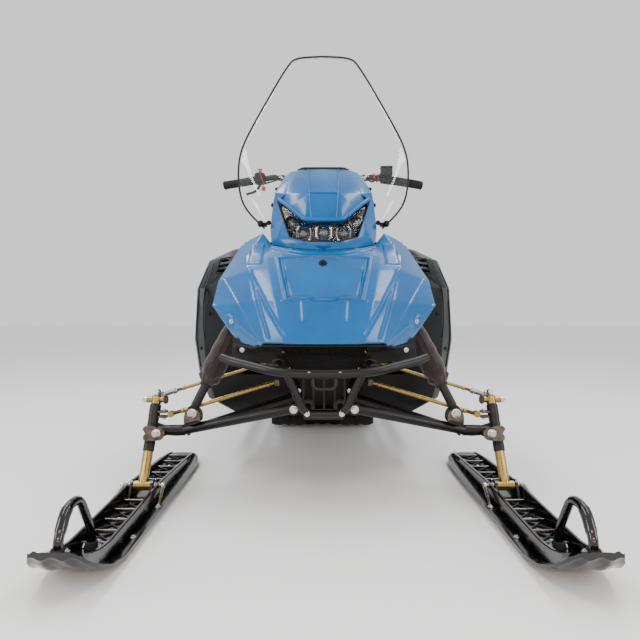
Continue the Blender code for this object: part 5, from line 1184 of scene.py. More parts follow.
def skiValues(station):
    # The table's values at the stations: straight between the rows, then eased by a short average.
    table = np.array(ski["sections"])
    reach = np.where(table[:, 0] < 0, table[:, 0] * ski["nose"], table[:, 0] * ski["tail"])
    values = []
    for column in range(1, 5):
        offsets = np.linspace(-0.012, 0.012, 7)
        clipped = np.clip(station[:, None] + offsets, reach[0], reach[-1])
        values.append(np.interp(clipped, reach, table[:, column]).mean(1))
    return values


def skiFloor(station):
    _, lift, _, channel = skiValues(np.atleast_1d(np.array(station, float)))
    return float((ski["keelDepth"] + lift + channel)[0])


def skiShape():
    # Each section: a sole with a keel and two shallow lobes, side flanges, two walls and a channel.
    station = np.linspace(-ski["nose"], ski["tail"], ski["stations"])
    share, lift, wall, channel = (v[:, None] for v in skiValues(station))
    half = ski["width"] / 2 * share
    spread = np.minimum(ski["spread"] / 2, half * 0.8)
    sole = ski["keelDepth"] + lift
    nose = rise(-station[:, None] / ski["nose"], 0.55, 0.95)
    u = np.linspace(-1, 1, 33)[None, :]
    x = u * half
    keel = ridge(x, ski["keelWidth"] / 2 + 0.004) * ski["keelDepth"] * (1 - 0.55 * nose)
    flute = 0.0022 * np.cos(np.abs(u) * np.pi * 3) * (1 - nose) * (np.abs(u) > 0.3)
    lobes = ski["lobeDepth"] * nose * np.cos(u * np.pi * 2) * (1 - u ** 2)
    bottom = np.stack([x, sole - keel + np.maximum(flute, 0) + lobes * 0.5], -1)
    edge = sole + ski["wall"]
    top = sole + wall
    floor = sole + channel
    t = ski["wall"]
    right = [(half, edge), (half * 0.5 + spread * 0.5 + 0.003, edge + 0.0025), (spread + 0.006, edge),
        (spread + 0.001, top - 0.002), (spread - 0.001, top), (spread - t + 0.001, top),
        (spread - t - 0.001, top - 0.002), (spread - t - 0.004, floor), (spread * 0.45, floor + 0.0012)]
    ring = [np.stack(np.broadcast_arrays(px, pz), -1) for px, pz in right]
    ring += [r * np.array([-1, 1]) for r in reversed(ring)]
    section = np.concatenate([bottom, np.concatenate(ring, 1).reshape(len(station), -1, 2)], 1)
    y = np.broadcast_to((station + pivotY)[:, None], section.shape[:2])
    points = np.stack([section[..., 0] + skiMiddle, y, section[..., 1]], -1)
    return points.reshape(-1, 3), closedFaces(*points.shape[:2])


def skiRibs():
    # Crossing ribs in the channel: a bay's two corners joined both ways, and a bar between bays.
    shapes = []
    edges = np.concatenate([np.arange(-0.360, -0.060, ski["ribPitch"]),
        np.arange(0.062, 0.440, ski["ribPitch"])])
    half = 0.034
    for start in edges:
        floor = skiFloor(start) + ski["ribHeight"] * 0.4
        bar = [spot(skiMiddle + side * half, start, floor) for side in (-1, 1)]
        shapes.append(tube(bar, 0.0030, 8, flatten=1.3))
        end = start + ski["ribPitch"]
        if (start < -0.06 and end < -0.05) or (start > 0 and end < 0.44):
            far = skiFloor(end) + ski["ribHeight"] * 0.4
            for side in (-1, 1):
                run = [spot(skiMiddle - side * half, start, floor), spot(skiMiddle + side * half, end, far)]
                shapes.append(tube(run, 0.0024, 8, flatten=1.4))
    return joined(shapes)


def buildSkis():
    shapes = [skiShape(), skiRibs()]
    for side in (-1, 1):
        x = skiMiddle + side * 0.030
        a = np.linspace(0, np.pi, 13)
        arch = [(0.019 * math.cos(v), 0.056 + 0.019 * math.sin(v)) for v in a]
        outline = np.array([(-0.045, 0.024), (0.045, 0.024)] + arch)
        near = np.stack([np.full(len(outline), x - 0.0035), outline[:, 0] + pivotY, outline[:, 1]], 1)
        far = near + (0.007, 0, 0)
        shapes.append((np.concatenate([near, far]), closedFaces(2, len(outline))))
    addPair("skiMoulding", shapes, "black_gloss_plastic", "ski", node="ski", angle=32)
    bar = [spot(skiMiddle, s, 0.0036) for s in np.linspace(-0.330, 0.300, 20)]
    addPair("skiWearBar", tube(bar, 0.0034, 10), "zinc_yellow_steel", "ski", material=boltSteel)
    studs = [(spot(skiMiddle, s, skiFloor(s)), (0, 0, 1)) for s in (-0.345, -0.205, 0.135, 0.300)]
    studs += [(spot(skiMiddle + x, s, 0.0225), (0, 0, 1)) for x in (-0.068, 0.068) for s in (-0.090, -0.300)]
    addBoltPair("skiBolts", studs, 0.0056, "ski")
    stubs, struts = [], []
    for side in (-1, 1):
        root = spot(skiMiddle + side * 0.0480, 0, 0.056)
        stubs.append(disc(root, (side, 0, 0), [(0.0062, 0), (0.0062, 0.010), (0.0052, 0.011),
            (0.0052, 0.017)], 18))
        upper = spot(skiMiddle + side * 0.0600, -0.004, 0.052)
        lower = spot(skiMiddle + side * 0.0690, -0.086, 0.0255)
        run = unit(lower - upper)
        struts.append(tube([upper, upper + run * 0.050], 0.0052, 14))
        struts.append(disc(spot(skiMiddle + side * 0.0560, 0, 0.056), (side, 0, 0),
            [(0.0085, 0), (0.0085, 0.008)], 18))
        struts.append(disc(lower - (0, 0, 0.004), (0, 0, 1), [(0.007, 0), (0.007, 0.003), (0.0035, 0.008)],
            6))
        stubs.append(tube([upper + run * 0.048, lower], 0.0034, 10))
    addPair("skiPinStubs", stubs, "zinc_yellow_steel", "ski")
    addPair("skiStruts", struts, "zinc_yellow_steel", "ski", material=boltSteel)


handle = {"diameter": 0.021, "front": -0.553, "rear": -0.385, "top": 0.180, "bootDiameter": 0.0275}


def buildSkiHandles():
    half = handle["diameter"] / 2
    frontFoot, rearFoot = (max(skiFloor(handle[end] - half), skiFloor(handle[end] + half)) - 0.002
        for end in ("front", "rear"))
    middle = (handle["front"] + handle["rear"]) / 2
    top = handle["top"] - half
    line = [(handle["front"], frontFoot), (handle["front"], frontFoot + 0.030), (middle - 0.045, top),
        (middle + 0.020, top), (handle["rear"], rearFoot + 0.045), (handle["rear"], rearFoot)]
    path = roundedPath([spot(skiMiddle, s, z) for s, z in line], 0.035, 10)
    t = np.linspace(0, lengthsOf(path)[-1], 90)
    path = pointsAt(path, t)
    share = t / t[-1]
    wave = 0.00025 * np.sin(t / 0.0045 * 2 * np.pi) * rise(share, 0.33, 0.38) * rise(-share, -0.72, -0.67)
    boot = (handle["bootDiameter"] / 2 - half) * 0.55 * rise(share, 0.13, 0.16) * rise(-share, -0.33, -0.30)
    radius = half - 0.0004 + wave + boot
    hoop = tube(path, radius, 22, up=(1, 0, 0))
    addPair("skiHandleHoop", hoop, "rubber", "ski", node="ski_handle",
        material=finishes["black_gloss_plastic"])
    feet = [disc(spot(skiMiddle, handle["front"] + 0.003, frontFoot + 0.004), (0, -0.2, 1),
        [(0.0150, -0.006), (0.0155, 0.004), (0.0125, 0.012), (0.0105, 0.013)], 24),
        disc(spot(skiMiddle, handle["rear"], rearFoot + 0.001), (0, 0, 1),
        [(0.0165, -0.001), (0.0165, 0.008), (0.0135, 0.018), (0.0105, 0.019)], 24)]
    addPair("skiHandleBoots", feet, "rubber", "ski")
    seats = [(spot(skiMiddle + side * 0.0158, handle["rear"] + 0.004, rearFoot + 0.005), (side, 0, 0))
        for side in (-1, 1)]
    seats += [(spot(skiMiddle + side * 0.0150, handle["front"] + 0.004, frontFoot + 0.005), (side, 0, 0))
        for side in (-1, 1)]
    addBoltPair("skiHandleBolts", seats, 0.0062, "ski")


# Handlebar with its column, grips and controls

bars = {
    "line": ((0.075, 0.575, 1.052), (0.165, 0.570, 1.090), (0.385, 0.605, 1.062)), "diameter": 0.022,
    "gripLength": 0.125, "rake": math.radians(30), "head": (0.575, 1.050),
    "columnLength": 0.250, "controlOffset": 0.024,
}


def barEnds(sign):
    # The outer run of one side's bar: its inner end, its outer end and the way inward.
    inner, outer = (spot(sign * p[0], p[1], p[2]) for p in bars["line"][1:])
    return inner, outer, unit(inner - outer)


def buildHandlebar():
    full = symmetric([(-x, s, z) for x, s, z in reversed(bars["line"])])
    axis = np.array([0, math.sin(bars["rake"]), math.cos(bars["rake"])])
    head = spot(0, *bars["head"])
    foot = head - axis * bars["columnLength"]
    shapes = [tube(roundedPath(full, 0.035, 10), bars["diameter"] / 2, 22, up=(0, 1, 0))]
    column = [(0, 0), (0.016, 0), (0.016, 0.190), (0.0135, 0.196), (0.0135, 0.235), (0, 0.235)]
    shapes.append(disc(foot, axis, column, 28))
    tilt = turnTo(axis)
    for x in (-0.034, 0.034):
        shapes.append(block(head + (x, 0, 0), (0.030, 0.048, 0.048), tilt, 0.2))
    shapes.append(block(head - axis * 0.014, (0.106, 0.042, 0.018), tilt, 0.25))
    addPiece("handlebarTube", shapes, "black_painted_steel", "steering", node="handlebar")
    side = np.cross(axis, (1.0, 0, 0))
    seats = [(head + np.array([x, 0, 0]) + side * y + axis * 0.0240, axis) for x in (-0.034, 0.034)
        for y in (-0.015, 0.015)]
    addBolts("handlebarBolts", seats, 0.0052, "steering")
    for sign, name in ((1, "left"), (-1, "right")):
        _, outer, run = barEnds(sign)
        length = bars["gripLength"]
        steps = np.linspace(0.010, length - 0.006, 61)
        profile = [(0, 0.0003), (0.0150, 0.0003), (0.0168, 0.002), (0.0168, 0.007), (0.0156, 0.009)]
        profile += [(0.0154 + 0.0010 * (0.5 + 0.5 * math.cos(s / 0.0042 * 2 * math.pi)), s) for s in steps]
        profile += [(0.0170, length - 0.004), (0.0170, length), (0.0114, length + 0.0002),
            (0, length + 0.0002)]
        addPiece("grip" + name.title() + "Ribbed", disc(outer - run * 0.006, run, profile, 32), "rubber",
            "steering", node="grip_" + name)


def hoseOnBar(sign, start):
    # The line of a hose strapped under the bar's tube and down the column's front, and its tie bands.
    inner, _, run = barEnds(sign)
    middle = spot(sign * bars["line"][0][0], *bars["line"][0][1:])
    axis = np.array([0, math.sin(bars["rake"]), math.cos(bars["rake"])])
    ahead = np.array([0, -axis[2], axis[1]])
    under = np.array([0, -0.0075, -0.0155])
    head = spot(0, *bars["head"])
    line = [start, inner - run * 0.030 + under * 1.1, inner - run * 0.004 + under,
        inner * 0.55 + middle * 0.45 + under, middle + under]
    for down, out, x in ((0.058, 0.020, 0.040), (0.100, 0.008, 0.0215), (0.170, 0.006, 0.0205),
            (0.225, 0.006, 0.0200)):
        line.append(head - axis * down + ahead * out + (sign * x, 0, 0))
    band = [(0.0150, -0.0020), (0.0166, -0.0020), (0.0166, 0.0020), (0.0150, 0.0020), (0.0150, -0.0020)]
    ties = [disc(inner * 0.80 + middle * 0.20 + under * 0.3, unit(inner - middle), band, 28),
        disc(inner * 0.25 + middle * 0.75 + under * 0.3, unit(inner - middle), band, 28)]
    wide = [(r + 0.0040, h) for r, h in band]
    for down in (0.125, 0.195):
        ties.append(disc(head - axis * down + (sign * 0.0042, 0, 0) + ahead * 0.001, axis, wide, 32))
    return smoothPath(line, 80), joined(ties)


def buildControls():
    softened("brake_assembly", 0.9, angle=30)
    softened("throttle_assembly", 0.9, angle=30)
    _, outer, run = barEnds(1)
    middle = outer - run * 0.006 + run * (bars["gripLength"] + bars["controlOffset"])
    reservoir = middle + np.array([0, -0.028, 0.022])
    cap = block(reservoir + (0, 0, 0.0185), (0.047, 0.043, 0.004), chamfer=0.3)
    window = disc(reservoir + (0, 0.0195, 0.0), (0, 1, 0), [(0.0085, 0), (0.0085, 0.0012),
        (0.0065, 0.0012), (0.006, 0.0006)], 24)
    addPiece("reservoirCap", [cap, window], "black_plastic", "steering")
    screws = [(reservoir + (x, y, 0.0203), (0, 0, 1)) for x in (-0.018, 0.018) for y in (-0.016, 0.016)]
    levers = [(middle + (0, -0.030, 0.0065), (0, 0, 1))]
    clampHalf = [(middle + side * run * 0.010 + (0, 0.0175, 0), (0, 1, 0)) for side in (-1, 1)]
    addPiece("brakeScrews", [bolts(screws, 0.0024), bolts(levers, 0.0045), bolts(clampHalf, 0.0034)],
        "zinc_yellow_steel", "steering", material=boltSteel)
    red = [block(middle - run * 0.004 + (0, 0.016, 0.006), (0.020, 0.006, 0.012), chamfer=0.3)]
    for along in (0.030, 0.044):
        collar = [(0.0112, 0), (0.0140, 0), (0.0146, 0.001), (0.0146, 0.008), (0.0140, 0.009),
            (0.0112, 0.009), (0.0112, 0)]
        red.append(disc(middle + run * along, run, collar, 26))
    addPiece("brakeSwitchPads", red, "red_plastic", "steering")
    hose, ties = hoseOnBar(1, reservoir + (-0.018, -0.018, -0.004))
    addPiece("brakeHose", tube(hose, 0.0036, 12), "rubber", "steering")
    addPiece("brakeHoseTies", ties, "rubber", "steering")
    _, outer, run = barEnds(-1)
    middle = outer - run * 0.006 + run * (bars["gripLength"] + bars["controlOffset"])
    case = middle - np.array([0, 0.014, 0])
    buttons = [block(case + (x, 0.0225, z), (0.010, 0.004, 0.008), chamfer=0.3)
        for x, z in ((-0.008, 0.008), (0.007, 0.008), (0.0, -0.007))]
    addPiece("switchButtons", buttons, "red_plastic", "steering")
    post = disc(case + (0.0, 0.002, 0.0205), (0, 0, 1), [(0.0085, 0), (0.0085, 0.004), (0.0065, 0.006),
        (0.0065, 0.012), (0.0088, 0.014), (0.0088, 0.018), (0, 0.019)], 22)
    strap = [case + (0.004, -0.0215, 0.016), case + (0.007, -0.0228, 0.000),
        case + (0.014, -0.0225, -0.018), case + (0.016, -0.0220, -0.036)]
    cap = smoothPath([case + (0.0, 0.002, 0.034), case + (0.002, -0.012, 0.033),
        case + (0.003, -0.0205, 0.026), strap[0]], 16)
    tag = block(case + (0.016, -0.0220, -0.043), (0.015, 0.004, 0.016), chamfer=0.3)
    shapes = [post, tube(cap, 0.0017, 10), tube(smoothPath(strap, 24), 0.0019, 10, flatten=1.0), tag]
    addPiece("tetherCap", shapes, "red_plastic", "steering")
    cable, ties = hoseOnBar(-1, middle + (0.010, 0.006, -0.016))
    addPiece("throttleCable", tube(cable, 0.0030, 12), "rubber", "steering")
    addPiece("throttleCableTies", ties, "rubber", "steering")


# Seat: a foam cushion under a sewn cover

seat = {
    # station behind the tank, share of the half width, rise of the middle
    "sections": ((0.005, 0.62, 0.195), (0.075, 0.80, 0.185), (0.215, 0.94, 0.170), (0.465, 1.0, 0.172),
                 (0.555, 1.0, 0.205), (0.715, 1.0, 0.215), (0.945, 0.98, 0.210), (1.035, 0.86, 0.185)),
    # share of the half width, share of the rise, from the base to the middle
    "outline": ((0.0, 0.0), (0.55, 0.0), (0.90, 0.0), (0.985, 0.12), (0.99, 0.40), (0.965, 0.72),
                (0.80, 0.92), (0.45, 0.985), (0.0, 1.0)),
    "tankBack": 0.985, "width": 0.330, "base": 0.6003, "endRounding": 0.040, "voxel": 0.0075,
    "pressure": 4.0, "movementCap": 0.007, "shrink": 0.0035, "seamShare": 0.80, "seamDepth": 0.0045,
    "crossSeams": (0.215, 0.345, 0.505, 0.635, 0.765, 0.895), "lowSeam": 0.30, "stitch": 0.0075,
}


def seatSize(station):
    table = np.array(seat["sections"])
    behind = np.asarray(station, float) - seat["tankBack"]
    offsets = np.linspace(-0.03, 0.03, 9)
    clipped = np.clip(behind[..., None] + offsets, table[0, 0], table[-1, 0])
    return [np.interp(clipped, table[:, 0], table[:, k]).mean(-1) for k in (1, 2)]


def seatShape(shrink):
    # Sections along the seat; each shrinks to its middle at the ends as a quarter circle does:
    # scale = sqrt(1 - (1 - distance / rounding) squared).
    start, end = seat["tankBack"] + 0.006, seat["tankBack"] + 1.034
    t = 0.5 - 0.5 * np.cos(np.linspace(0, np.pi, 90))
    station = start + shrink + (end - start - 2 * shrink) * t
    share, height = seatSize(station)
    reach = np.minimum(station - start - shrink, end - shrink - station) / seat["endRounding"]
    scale = np.sqrt(np.clip(1 - np.clip(1 - reach, 0, 1) ** 2, 0.0004, 1))
    outline = smoothPath(np.column_stack([seat["outline"], np.zeros(len(seat["outline"]))]), 40)[:, :2]
    outline = np.clip(outline, 0, 1.0)
    ring = np.concatenate([outline, outline[-2:0:-1] * (-1, 1)])
    half = seat["width"] / 2 * share - shrink
    rise0 = height - 2 * shrink
    x = ring[None, :, 0] * half[:, None] * (0.75 + 0.25 * scale[:, None])
    z = 0.30 + (ring[None, :, 1] - 0.30) * scale[:, None]
    z = seat["base"] + shrink + z * rise0[:, None]
    y = np.broadcast_to((station + pivotY)[:, None], x.shape)
    points = np.stack([x, y, z], -1)
    return points.reshape(-1, 3), closedFaces(*points.shape[:2])


def applied(piece, kind, **settings):
    # The piece's mesh with one more modifier made part of it.
    step = piece.modifiers.new(kind.title(), kind)
    for name, value in settings.items():
        setattr(step, name, value)
    made = bpy.data.meshes.new_from_object(piece.evaluated_get(bpy.context.evaluated_depsgraph_get()))
    piece.modifiers.remove(step)
    piece.data = made


def inflate(piece):
    # Cloth with inside pressure; a point moves at most the cap from where it began.
    scene = bpy.context.scene
    before = placesOf(piece.data)
    step = piece.modifiers.new("Cloth", "CLOTH")
    step.settings.use_pressure = True
    step.settings.uniform_pressure_force = seat["pressure"]
    step.settings.tension_stiffness = 25
    step.settings.effector_weights.gravity = 0
    for number in range(1, 21):
        scene.frame_set(number)
    swollen = piece.evaluated_get(bpy.context.evaluated_depsgraph_get()).to_mesh()
    after = placesOf(swollen)
    piece.to_mesh_clear()
    piece.modifiers.remove(step)
    scene.frame_set(1)
    move = after - before
    length = np.linalg.norm(move, axis=1, keepdims=True)
    places = before + move * np.minimum(1, seat["movementCap"] / np.maximum(length, 1e-9))
    piece.data.vertices.foreach_set("co", places.ravel())
    piece.data.update()


def seamTracks():
    # Every seam as points seen from above: two long ones and the cross seams between them.
    station = np.linspace(seat["tankBack"] + 0.045, seat["tankBack"] + 0.990, 150)
    edge = seat["width"] / 2 * seatSize(station)[0] * seat["seamShare"]
    tracks = [np.column_stack([side * edge, station + pivotY]) for side in (-1, 1)]
    for behind in seat["crossSeams"]:
        s = seat["tankBack"] + behind
        half = seat["width"] / 2 * float(seatSize(s)[0]) * seat["seamShare"]
        x = np.linspace(-half, half, 44)
        tracks.append(np.column_stack([x, s + pivotY + 0.018 * (1 - (x / half) ** 2)]))
    return tracks


def buildSeat():
    piece = addPiece("seatCushion", seatShape(seat["shrink"]), "seat_vinyl", angle=180)
    applied(piece, "REMESH", mode="VOXEL", voxel_size=seat["voxel"])
    inflate(piece)
    applied(piece, "SUBSURF", levels=1, render_levels=1)
    places = placesOf(piece.data)
    normals = np.empty(places.size)
    piece.data.vertices.foreach_get("normal", normals)
    normals = normals.reshape(-1, 3)
    share, height = seatSize(places[:, 1] - pivotY)
    edge = seat["width"] / 2 * share * seat["seamShare"]
    top = rise(normals[:, 2], 0.1, 0.4)
    press = ridge(np.abs(places[:, 0]) - edge, 0.007) * top
    inside = rise(edge - np.abs(places[:, 0]), -0.004, 0.002)
    for behind in seat["crossSeams"]:
        half = seat["width"] / 2 * float(seatSize(seat["tankBack"] + behind)[0]) * seat["seamShare"]
        line = seat["tankBack"] + behind + pivotY + 0.018 * (1 - np.clip(places[:, 0] / half, -1, 1) ** 2)
        press = np.maximum(press, ridge(places[:, 1] - line, 0.007) * inside * top)
    low = seat["base"] + seat["lowSeam"] * height
    press = np.maximum(press, ridge(places[:, 2] - low, 0.006) * rise(-np.abs(normals[:, 2]), -0.7, -0.4))
    puff = 0.0025 * (1 - press) * top
    places += normals * (puff - seat["seamDepth"] * press)[:, None]
    creases = np.sin(places[:, 1] * 95 + 3 * np.sin(places[:, 2] * 40)) * (1 - top) * 0.0004
    places += normals * creases[:, None]
    places[:, 2] = np.maximum(places[:, 2], seat["base"] + 0.0004)
    places[:, 1] = np.maximum(places[:, 1], seat["tankBack"] + pivotY + 0.0035)
    piece.data.vertices.foreach_set("co", places.ravel())
    piece.data.shade_smooth()
    piece.data.materials.clear()
    piece.data.materials.append(finishes["seat_vinyl"])
    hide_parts("seat_cushion")
    tree = treeOf(piece.data)
    pipes, stitches = [], []
    for number, track in enumerate(seamTracks()):
        hits = [tree.ray_cast(Vector((x, y, 1.2)), Vector((0, 0, -1))) for x, y in track]
        path = np.array([list(h[0]) for h in hits if h[0] is not None])
        lift = np.array([list(h[1]) for h in hits if h[0] is not None])
        if number < 2:
            pipes.append(tube(path + lift * 0.0006, 0.0024, 8))
        steps = lengthsOf(path)
        t = np.arange(seat["stitch"], steps[-1] - seat["stitch"], seat["stitch"])
        for side in (-1, 1):
            ahead = unitRows(np.gradient(path, axis=0))
            beside = path + np.cross(ahead, lift) * 0.0065 * side + lift * 0.0016
            a = np.stack([np.interp(t, steps, beside[:, k]) for k in range(3)], 1)
            b = np.stack([np.interp(t + seat["stitch"] * 0.62, steps, beside[:, k]) for k in range(3)], 1)
            stitches += [tube([p, q], 0.00055, 5) for p, q in zip(a, b)]
    addPiece("seatPiping", pipes, "seat_vinyl", material=finishes["rubber"])
    addPiece("seatStitches", stitches, "seat_vinyl", material=threadBlack)
    softened("seat_base", 4.0, segments=3)


# Fuel tank with its cap, the console and the instrument

tank = {"front": 0.640, "back": 0.985, "corner": 0.05, "seamHeight": 0.760, "seamHalf": 0.200, "cap": 0.800,
        "capLow": 0.876, "capHigh": 0.892, "capRadius": 0.0438, "grips": 18}


def buildTank():
    softened("fuel_tank", 9.0, segments=4, angle=16)
    half, front, back, corner = tank["seamHalf"], tank["front"], tank["back"], tank["corner"]
    loop = [(half - corner, front), (half, front + corner), (half, back - corner), (half - corner, back)]
    loop += [(-x, s) for x, s in reversed(loop)]
    ring = [spot(x, s, tank["seamHeight"]) for x, s in loop]
    dense = np.concatenate([np.linspace(a, b, 24, endpoint=False) for a, b in zip(ring, ring[1:] + ring[:1])])
    addPiece("tankSeam", tube(blurredLoop(dense, 4), 0.0028, 8, closed=True, flatten=0.55), "black_plastic")
    low = spot(0, tank["cap"], tank["capLow"])
    turns = np.linspace(0, 2 * np.pi, tank["grips"], endpoint=False)
    ribs = [block(low + (tank["capRadius"] * math.cos(a), tank["capRadius"] * math.sin(a), 0.008),
        (0.004, 0.005, tank["capHigh"] - tank["capLow"]), chamfer=0.3) for a in turns]
    top = low + (0, 0, 0.022)
    profile = [(0.0375, 0), (0.0375, 0.0010), (0.030, 0.0026), (0.026, 0.0018), (0, 0.0018)]
    cover = moved(revolved(profile, 40), top - (0, 0, 0.001))
    ribs += [block(top + (0, 0, 0.004), (0.058, 0.010, 0.007), chamfer=0.3), cover]
    addPiece("fuelCapGrips", ribs, "black_plastic", material=finishes["rubber"])


def buildConsole():
    softened("console", 2.5, angle=20)
    top = 0.8016
    shapes = [disc(spot(x, s, top), (0, 0, 1), [(r, -0.001), (r, 0.004), (r * 0.86, 0.007)], 28)
        for x, s, r in ((0.105, 0.335, 0.017), (-0.105, 0.335, 0.014), (0.062, 0.372, 0.012))]
    shapes += [block(spot(0.105, 0.335, top + 0.012), (0.005, 0.022, 0.012), chamfer=0.3),
        block(spot(-0.040, 0.372, top + 0.003), (0.036, 0.020, 0.008), chamfer=0.25)]
    addPiece("consoleKnobs", shapes, "black_plastic", material=finishes["black_gloss_plastic"])
    softened("instrument_housing", 3.0, segments=3, angle=18)


gauge = {"width": 0.104, "height": 0.072, "middle": 0.985}


def buildGauge():
    # The display: a rounded plate laid on the housing's rear face, in a raised frame.
    tree = treeOf(frame["nodes"]["instrument_housing"].data)
    turns = np.linspace(0, 2 * np.pi, 64, endpoint=False)
    power = 0.42
    rim = np.column_stack([np.sign(np.cos(turns)) * np.abs(np.cos(turns)) ** power * gauge["width"] / 2,
        gauge["middle"] + np.sign(np.sin(turns)) * np.abs(np.sin(turns)) ** power * gauge["height"] / 2])
    hits = [tree.ray_cast(Vector((x, 1.0, z)), Vector((0, -1, 0))) for x, z in rim]
    edge = np.array([list(h[0]) for h in hits if h[0] is not None])
    out = unit(np.mean([list(h[1]) for h in hits if h[0] is not None], axis=0))
    if len(edge) < len(rim):
        return
    middle = edge.mean(0)
    rings = np.concatenate([middle + (edge - middle) * f + out * lift
        for f, lift in ((1.0, 0.0008), (1.0, 0.0022), (0.6, 0.0030), (0.2, 0.0034))])
    faces = gridFaces(4, len(edge), wrapColumns=True) + [list(range(3 * len(edge), 4 * len(edge)))]
    addPiece("gaugeGlass", (rings, faces), "black_gloss_plastic", material=displayGlass)
    addPiece("gaugeFrame", tube(middle + (edge - middle) * 1.05 + out * 0.001, 0.0042, 10, closed=True,
        up=tuple(out)), "black_plastic")
    row = [disc(middle + np.array([x, 0, 0]) + unit(np.cross(out, (1.0, 0, 0))) * -0.047 + out * 0.0005,
        out, [(0.0055, -0.001), (0.0055, 0.003), (0.0045, 0.004)], 20) for x in (-0.03, 0, 0.03)]
    addPiece("gaugeButtons", row, "black_plastic", material=finishes["rubber"])


# Tunnel and running boards

tunnel = {
    "half": 0.278, "front": 0.600, "back": 2.560, "beads": (0.408, 0.446), "beadsStart": 0.95,
    "beadsEnd": 2.42, "rivetRows": (0.324, 0.492), "rivetPitch": 0.085,
}


def buildTunnel():
    softened("tunnel", 2.0)
    beads, rivets = [], []
    for side in (-1, 1):
        for number, z in enumerate(tunnel["beads"]):
            s = np.linspace(tunnel["beadsStart"] + 0.05 * number, tunnel["beadsEnd"], 40)
            fade = np.minimum(1, np.minimum(s - s[0], s[-1] - s) / 0.03)
            path = np.column_stack([np.full(len(s), side * (tunnel["half"] - 0.0015)), s + pivotY,
                np.full(len(s), z)])
            radius = 0.0015 + 0.0065 * np.sqrt(np.maximum(fade, 0))
            beads.append(tube(path, radius, 14, up=(side, 0, 0), flatten=0.55))
        stations = np.arange(tunnel["front"] + 0.04, tunnel["back"] - 0.02, tunnel["rivetPitch"])
        rows = [(s, z) for z in tunnel["rivetRows"] for s in stations]
        rivets += [disc(spot(side * tunnel["half"], s, z), (side, 0, 0),
            [(0.0052, -0.001), (0.0046, 0.0018), (0.0022, 0.0030), (0, 0.0031)], 10) for s, z in rows]
    addPiece("tunnelBeads", beads, "alloy_sheet")
    addPiece("tunnelRivets", rivets, "alloy_sheet", material=boltSteel)
    plates = [(spot(side * (tunnel["half"] + 0.0004), s + ds, z), (side, 0, 0)) for side in (-1, 1)
        for s, z in ((1.00, 0.352), (1.72, 0.352)) for ds in (-0.02, 0.02)]
    plates += [(spot(side * (tunnel["half"] + 0.0004), 0.780, 0.335), (side, 0, 0)) for side in (-1, 1)]
    addBolts("tunnelBolts", plates, 0.008, slot="alloy_sheet")


board = {"inner": 0.2783, "width": 0.175, "front": 0.600, "back": 2.430, "rows": 11, "top": 0.308}


def buildBoards():
    for name in ("left", "right"):
        softened("running_board_" + name, 0.8, segments=1)
    pitch = (board["back"] - board["front"] - 0.16) / board["rows"]
    corners = np.arange(6) * np.pi / 3
    shapes = []
    for row in range(board["rows"]):
        for column in range(2):
            x = board["inner"] + board["width"] * (0.30 + 0.36 * column)
            s = board["front"] + 0.05 + (row + 0.5) * pitch
            rim = np.array([spot(x + 0.0265 * math.cos(a), s + (pitch * 0.37 + 0.002) * math.sin(a),
                board["top"]) for a in corners])
            ring = np.concatenate([np.linspace(a, b, 4, endpoint=False)
                for a, b in zip(rim, np.roll(rim, -1, 0))])
            shapes.append(tube(ring, 0.0022, 6, closed=True))
            teeth = np.concatenate([rim, (rim + np.roll(rim, -1, 0)) / 2])
            shapes += [disc(p, (0, 0, 1), [(0.0042, -0.001), (0.0030, 0.0045), (0.0012, 0.0062)], 7)
                for p in teeth]
    addPiece("boardTeeth", both(joined(shapes)), "alloy_sheet")


# Track: the belt, its paddles and clips, and what runs inside it

track = {
    "circles": ((0.780, 0.335, 0.092), (1.130, 0.141, 0.095), (2.350, 0.146, 0.100)),
    "width": 0.508, "wall": 0.008, "lug": 0.038, "pitch": 0.0726,
    # middle share of the width, width share, offset in pairs of rows
    "columns": ((-0.32, 0.32, 0.5), (0.0, 0.42, 0.0), (0.32, 0.32, 0.5)),
}


def beltLine():
    # Points along the belt's inner face and the distance to each, as arcs about the wheels.
    circles = track["circles"]
    corners, dense = [], []
    for (s1, z1, r1), (s2, z2, r2) in zip(circles, circles[1:] + circles[:1]):
        corners.append(math.atan2(z2 - z1, s2 - s1) - math.pi / 2
            - math.asin((r1 - r2) / math.hypot(s2 - s1, z2 - z1)))
    for number, (s, z, r) in enumerate(circles):
        begin, end = corners[number - 1], corners[number]
        a = np.linspace(begin, end + 2 * math.pi * math.ceil((begin - end) / (2 * math.pi)), 25)
        dense.append(np.column_stack([s + r * np.cos(a), z + r * np.sin(a)]))
    dense = np.concatenate(dense)
    dense = np.concatenate([dense, dense[:1]])
    return dense, lengthsOf(dense)


def onBelt(distance, x, along, out):
    # A place on the belt: the distance gives the spot and its normal; along and out are added.
    dense, lengths = beltLine()
    total = lengths[-1]

    def at(d):
        d = np.mod(d, total)
        return np.stack([np.interp(d, lengths, dense[:, k]) for k in (0, 1)], -1)

    ahead = at(distance + 0.004) - at(distance - 0.004)
    ahead /= np.linalg.norm(ahead, axis=-1, keepdims=True)
    away = np.stack([ahead[..., 1], -ahead[..., 0]], -1)
    place = at(distance) + ahead * np.asarray(along)[..., None] + away * np.asarray(out)[..., None]
    x = np.broadcast_to(x, place.shape[:-1])
    return np.stack([x, place[..., 0] + pivotY, place[..., 1]], -1)


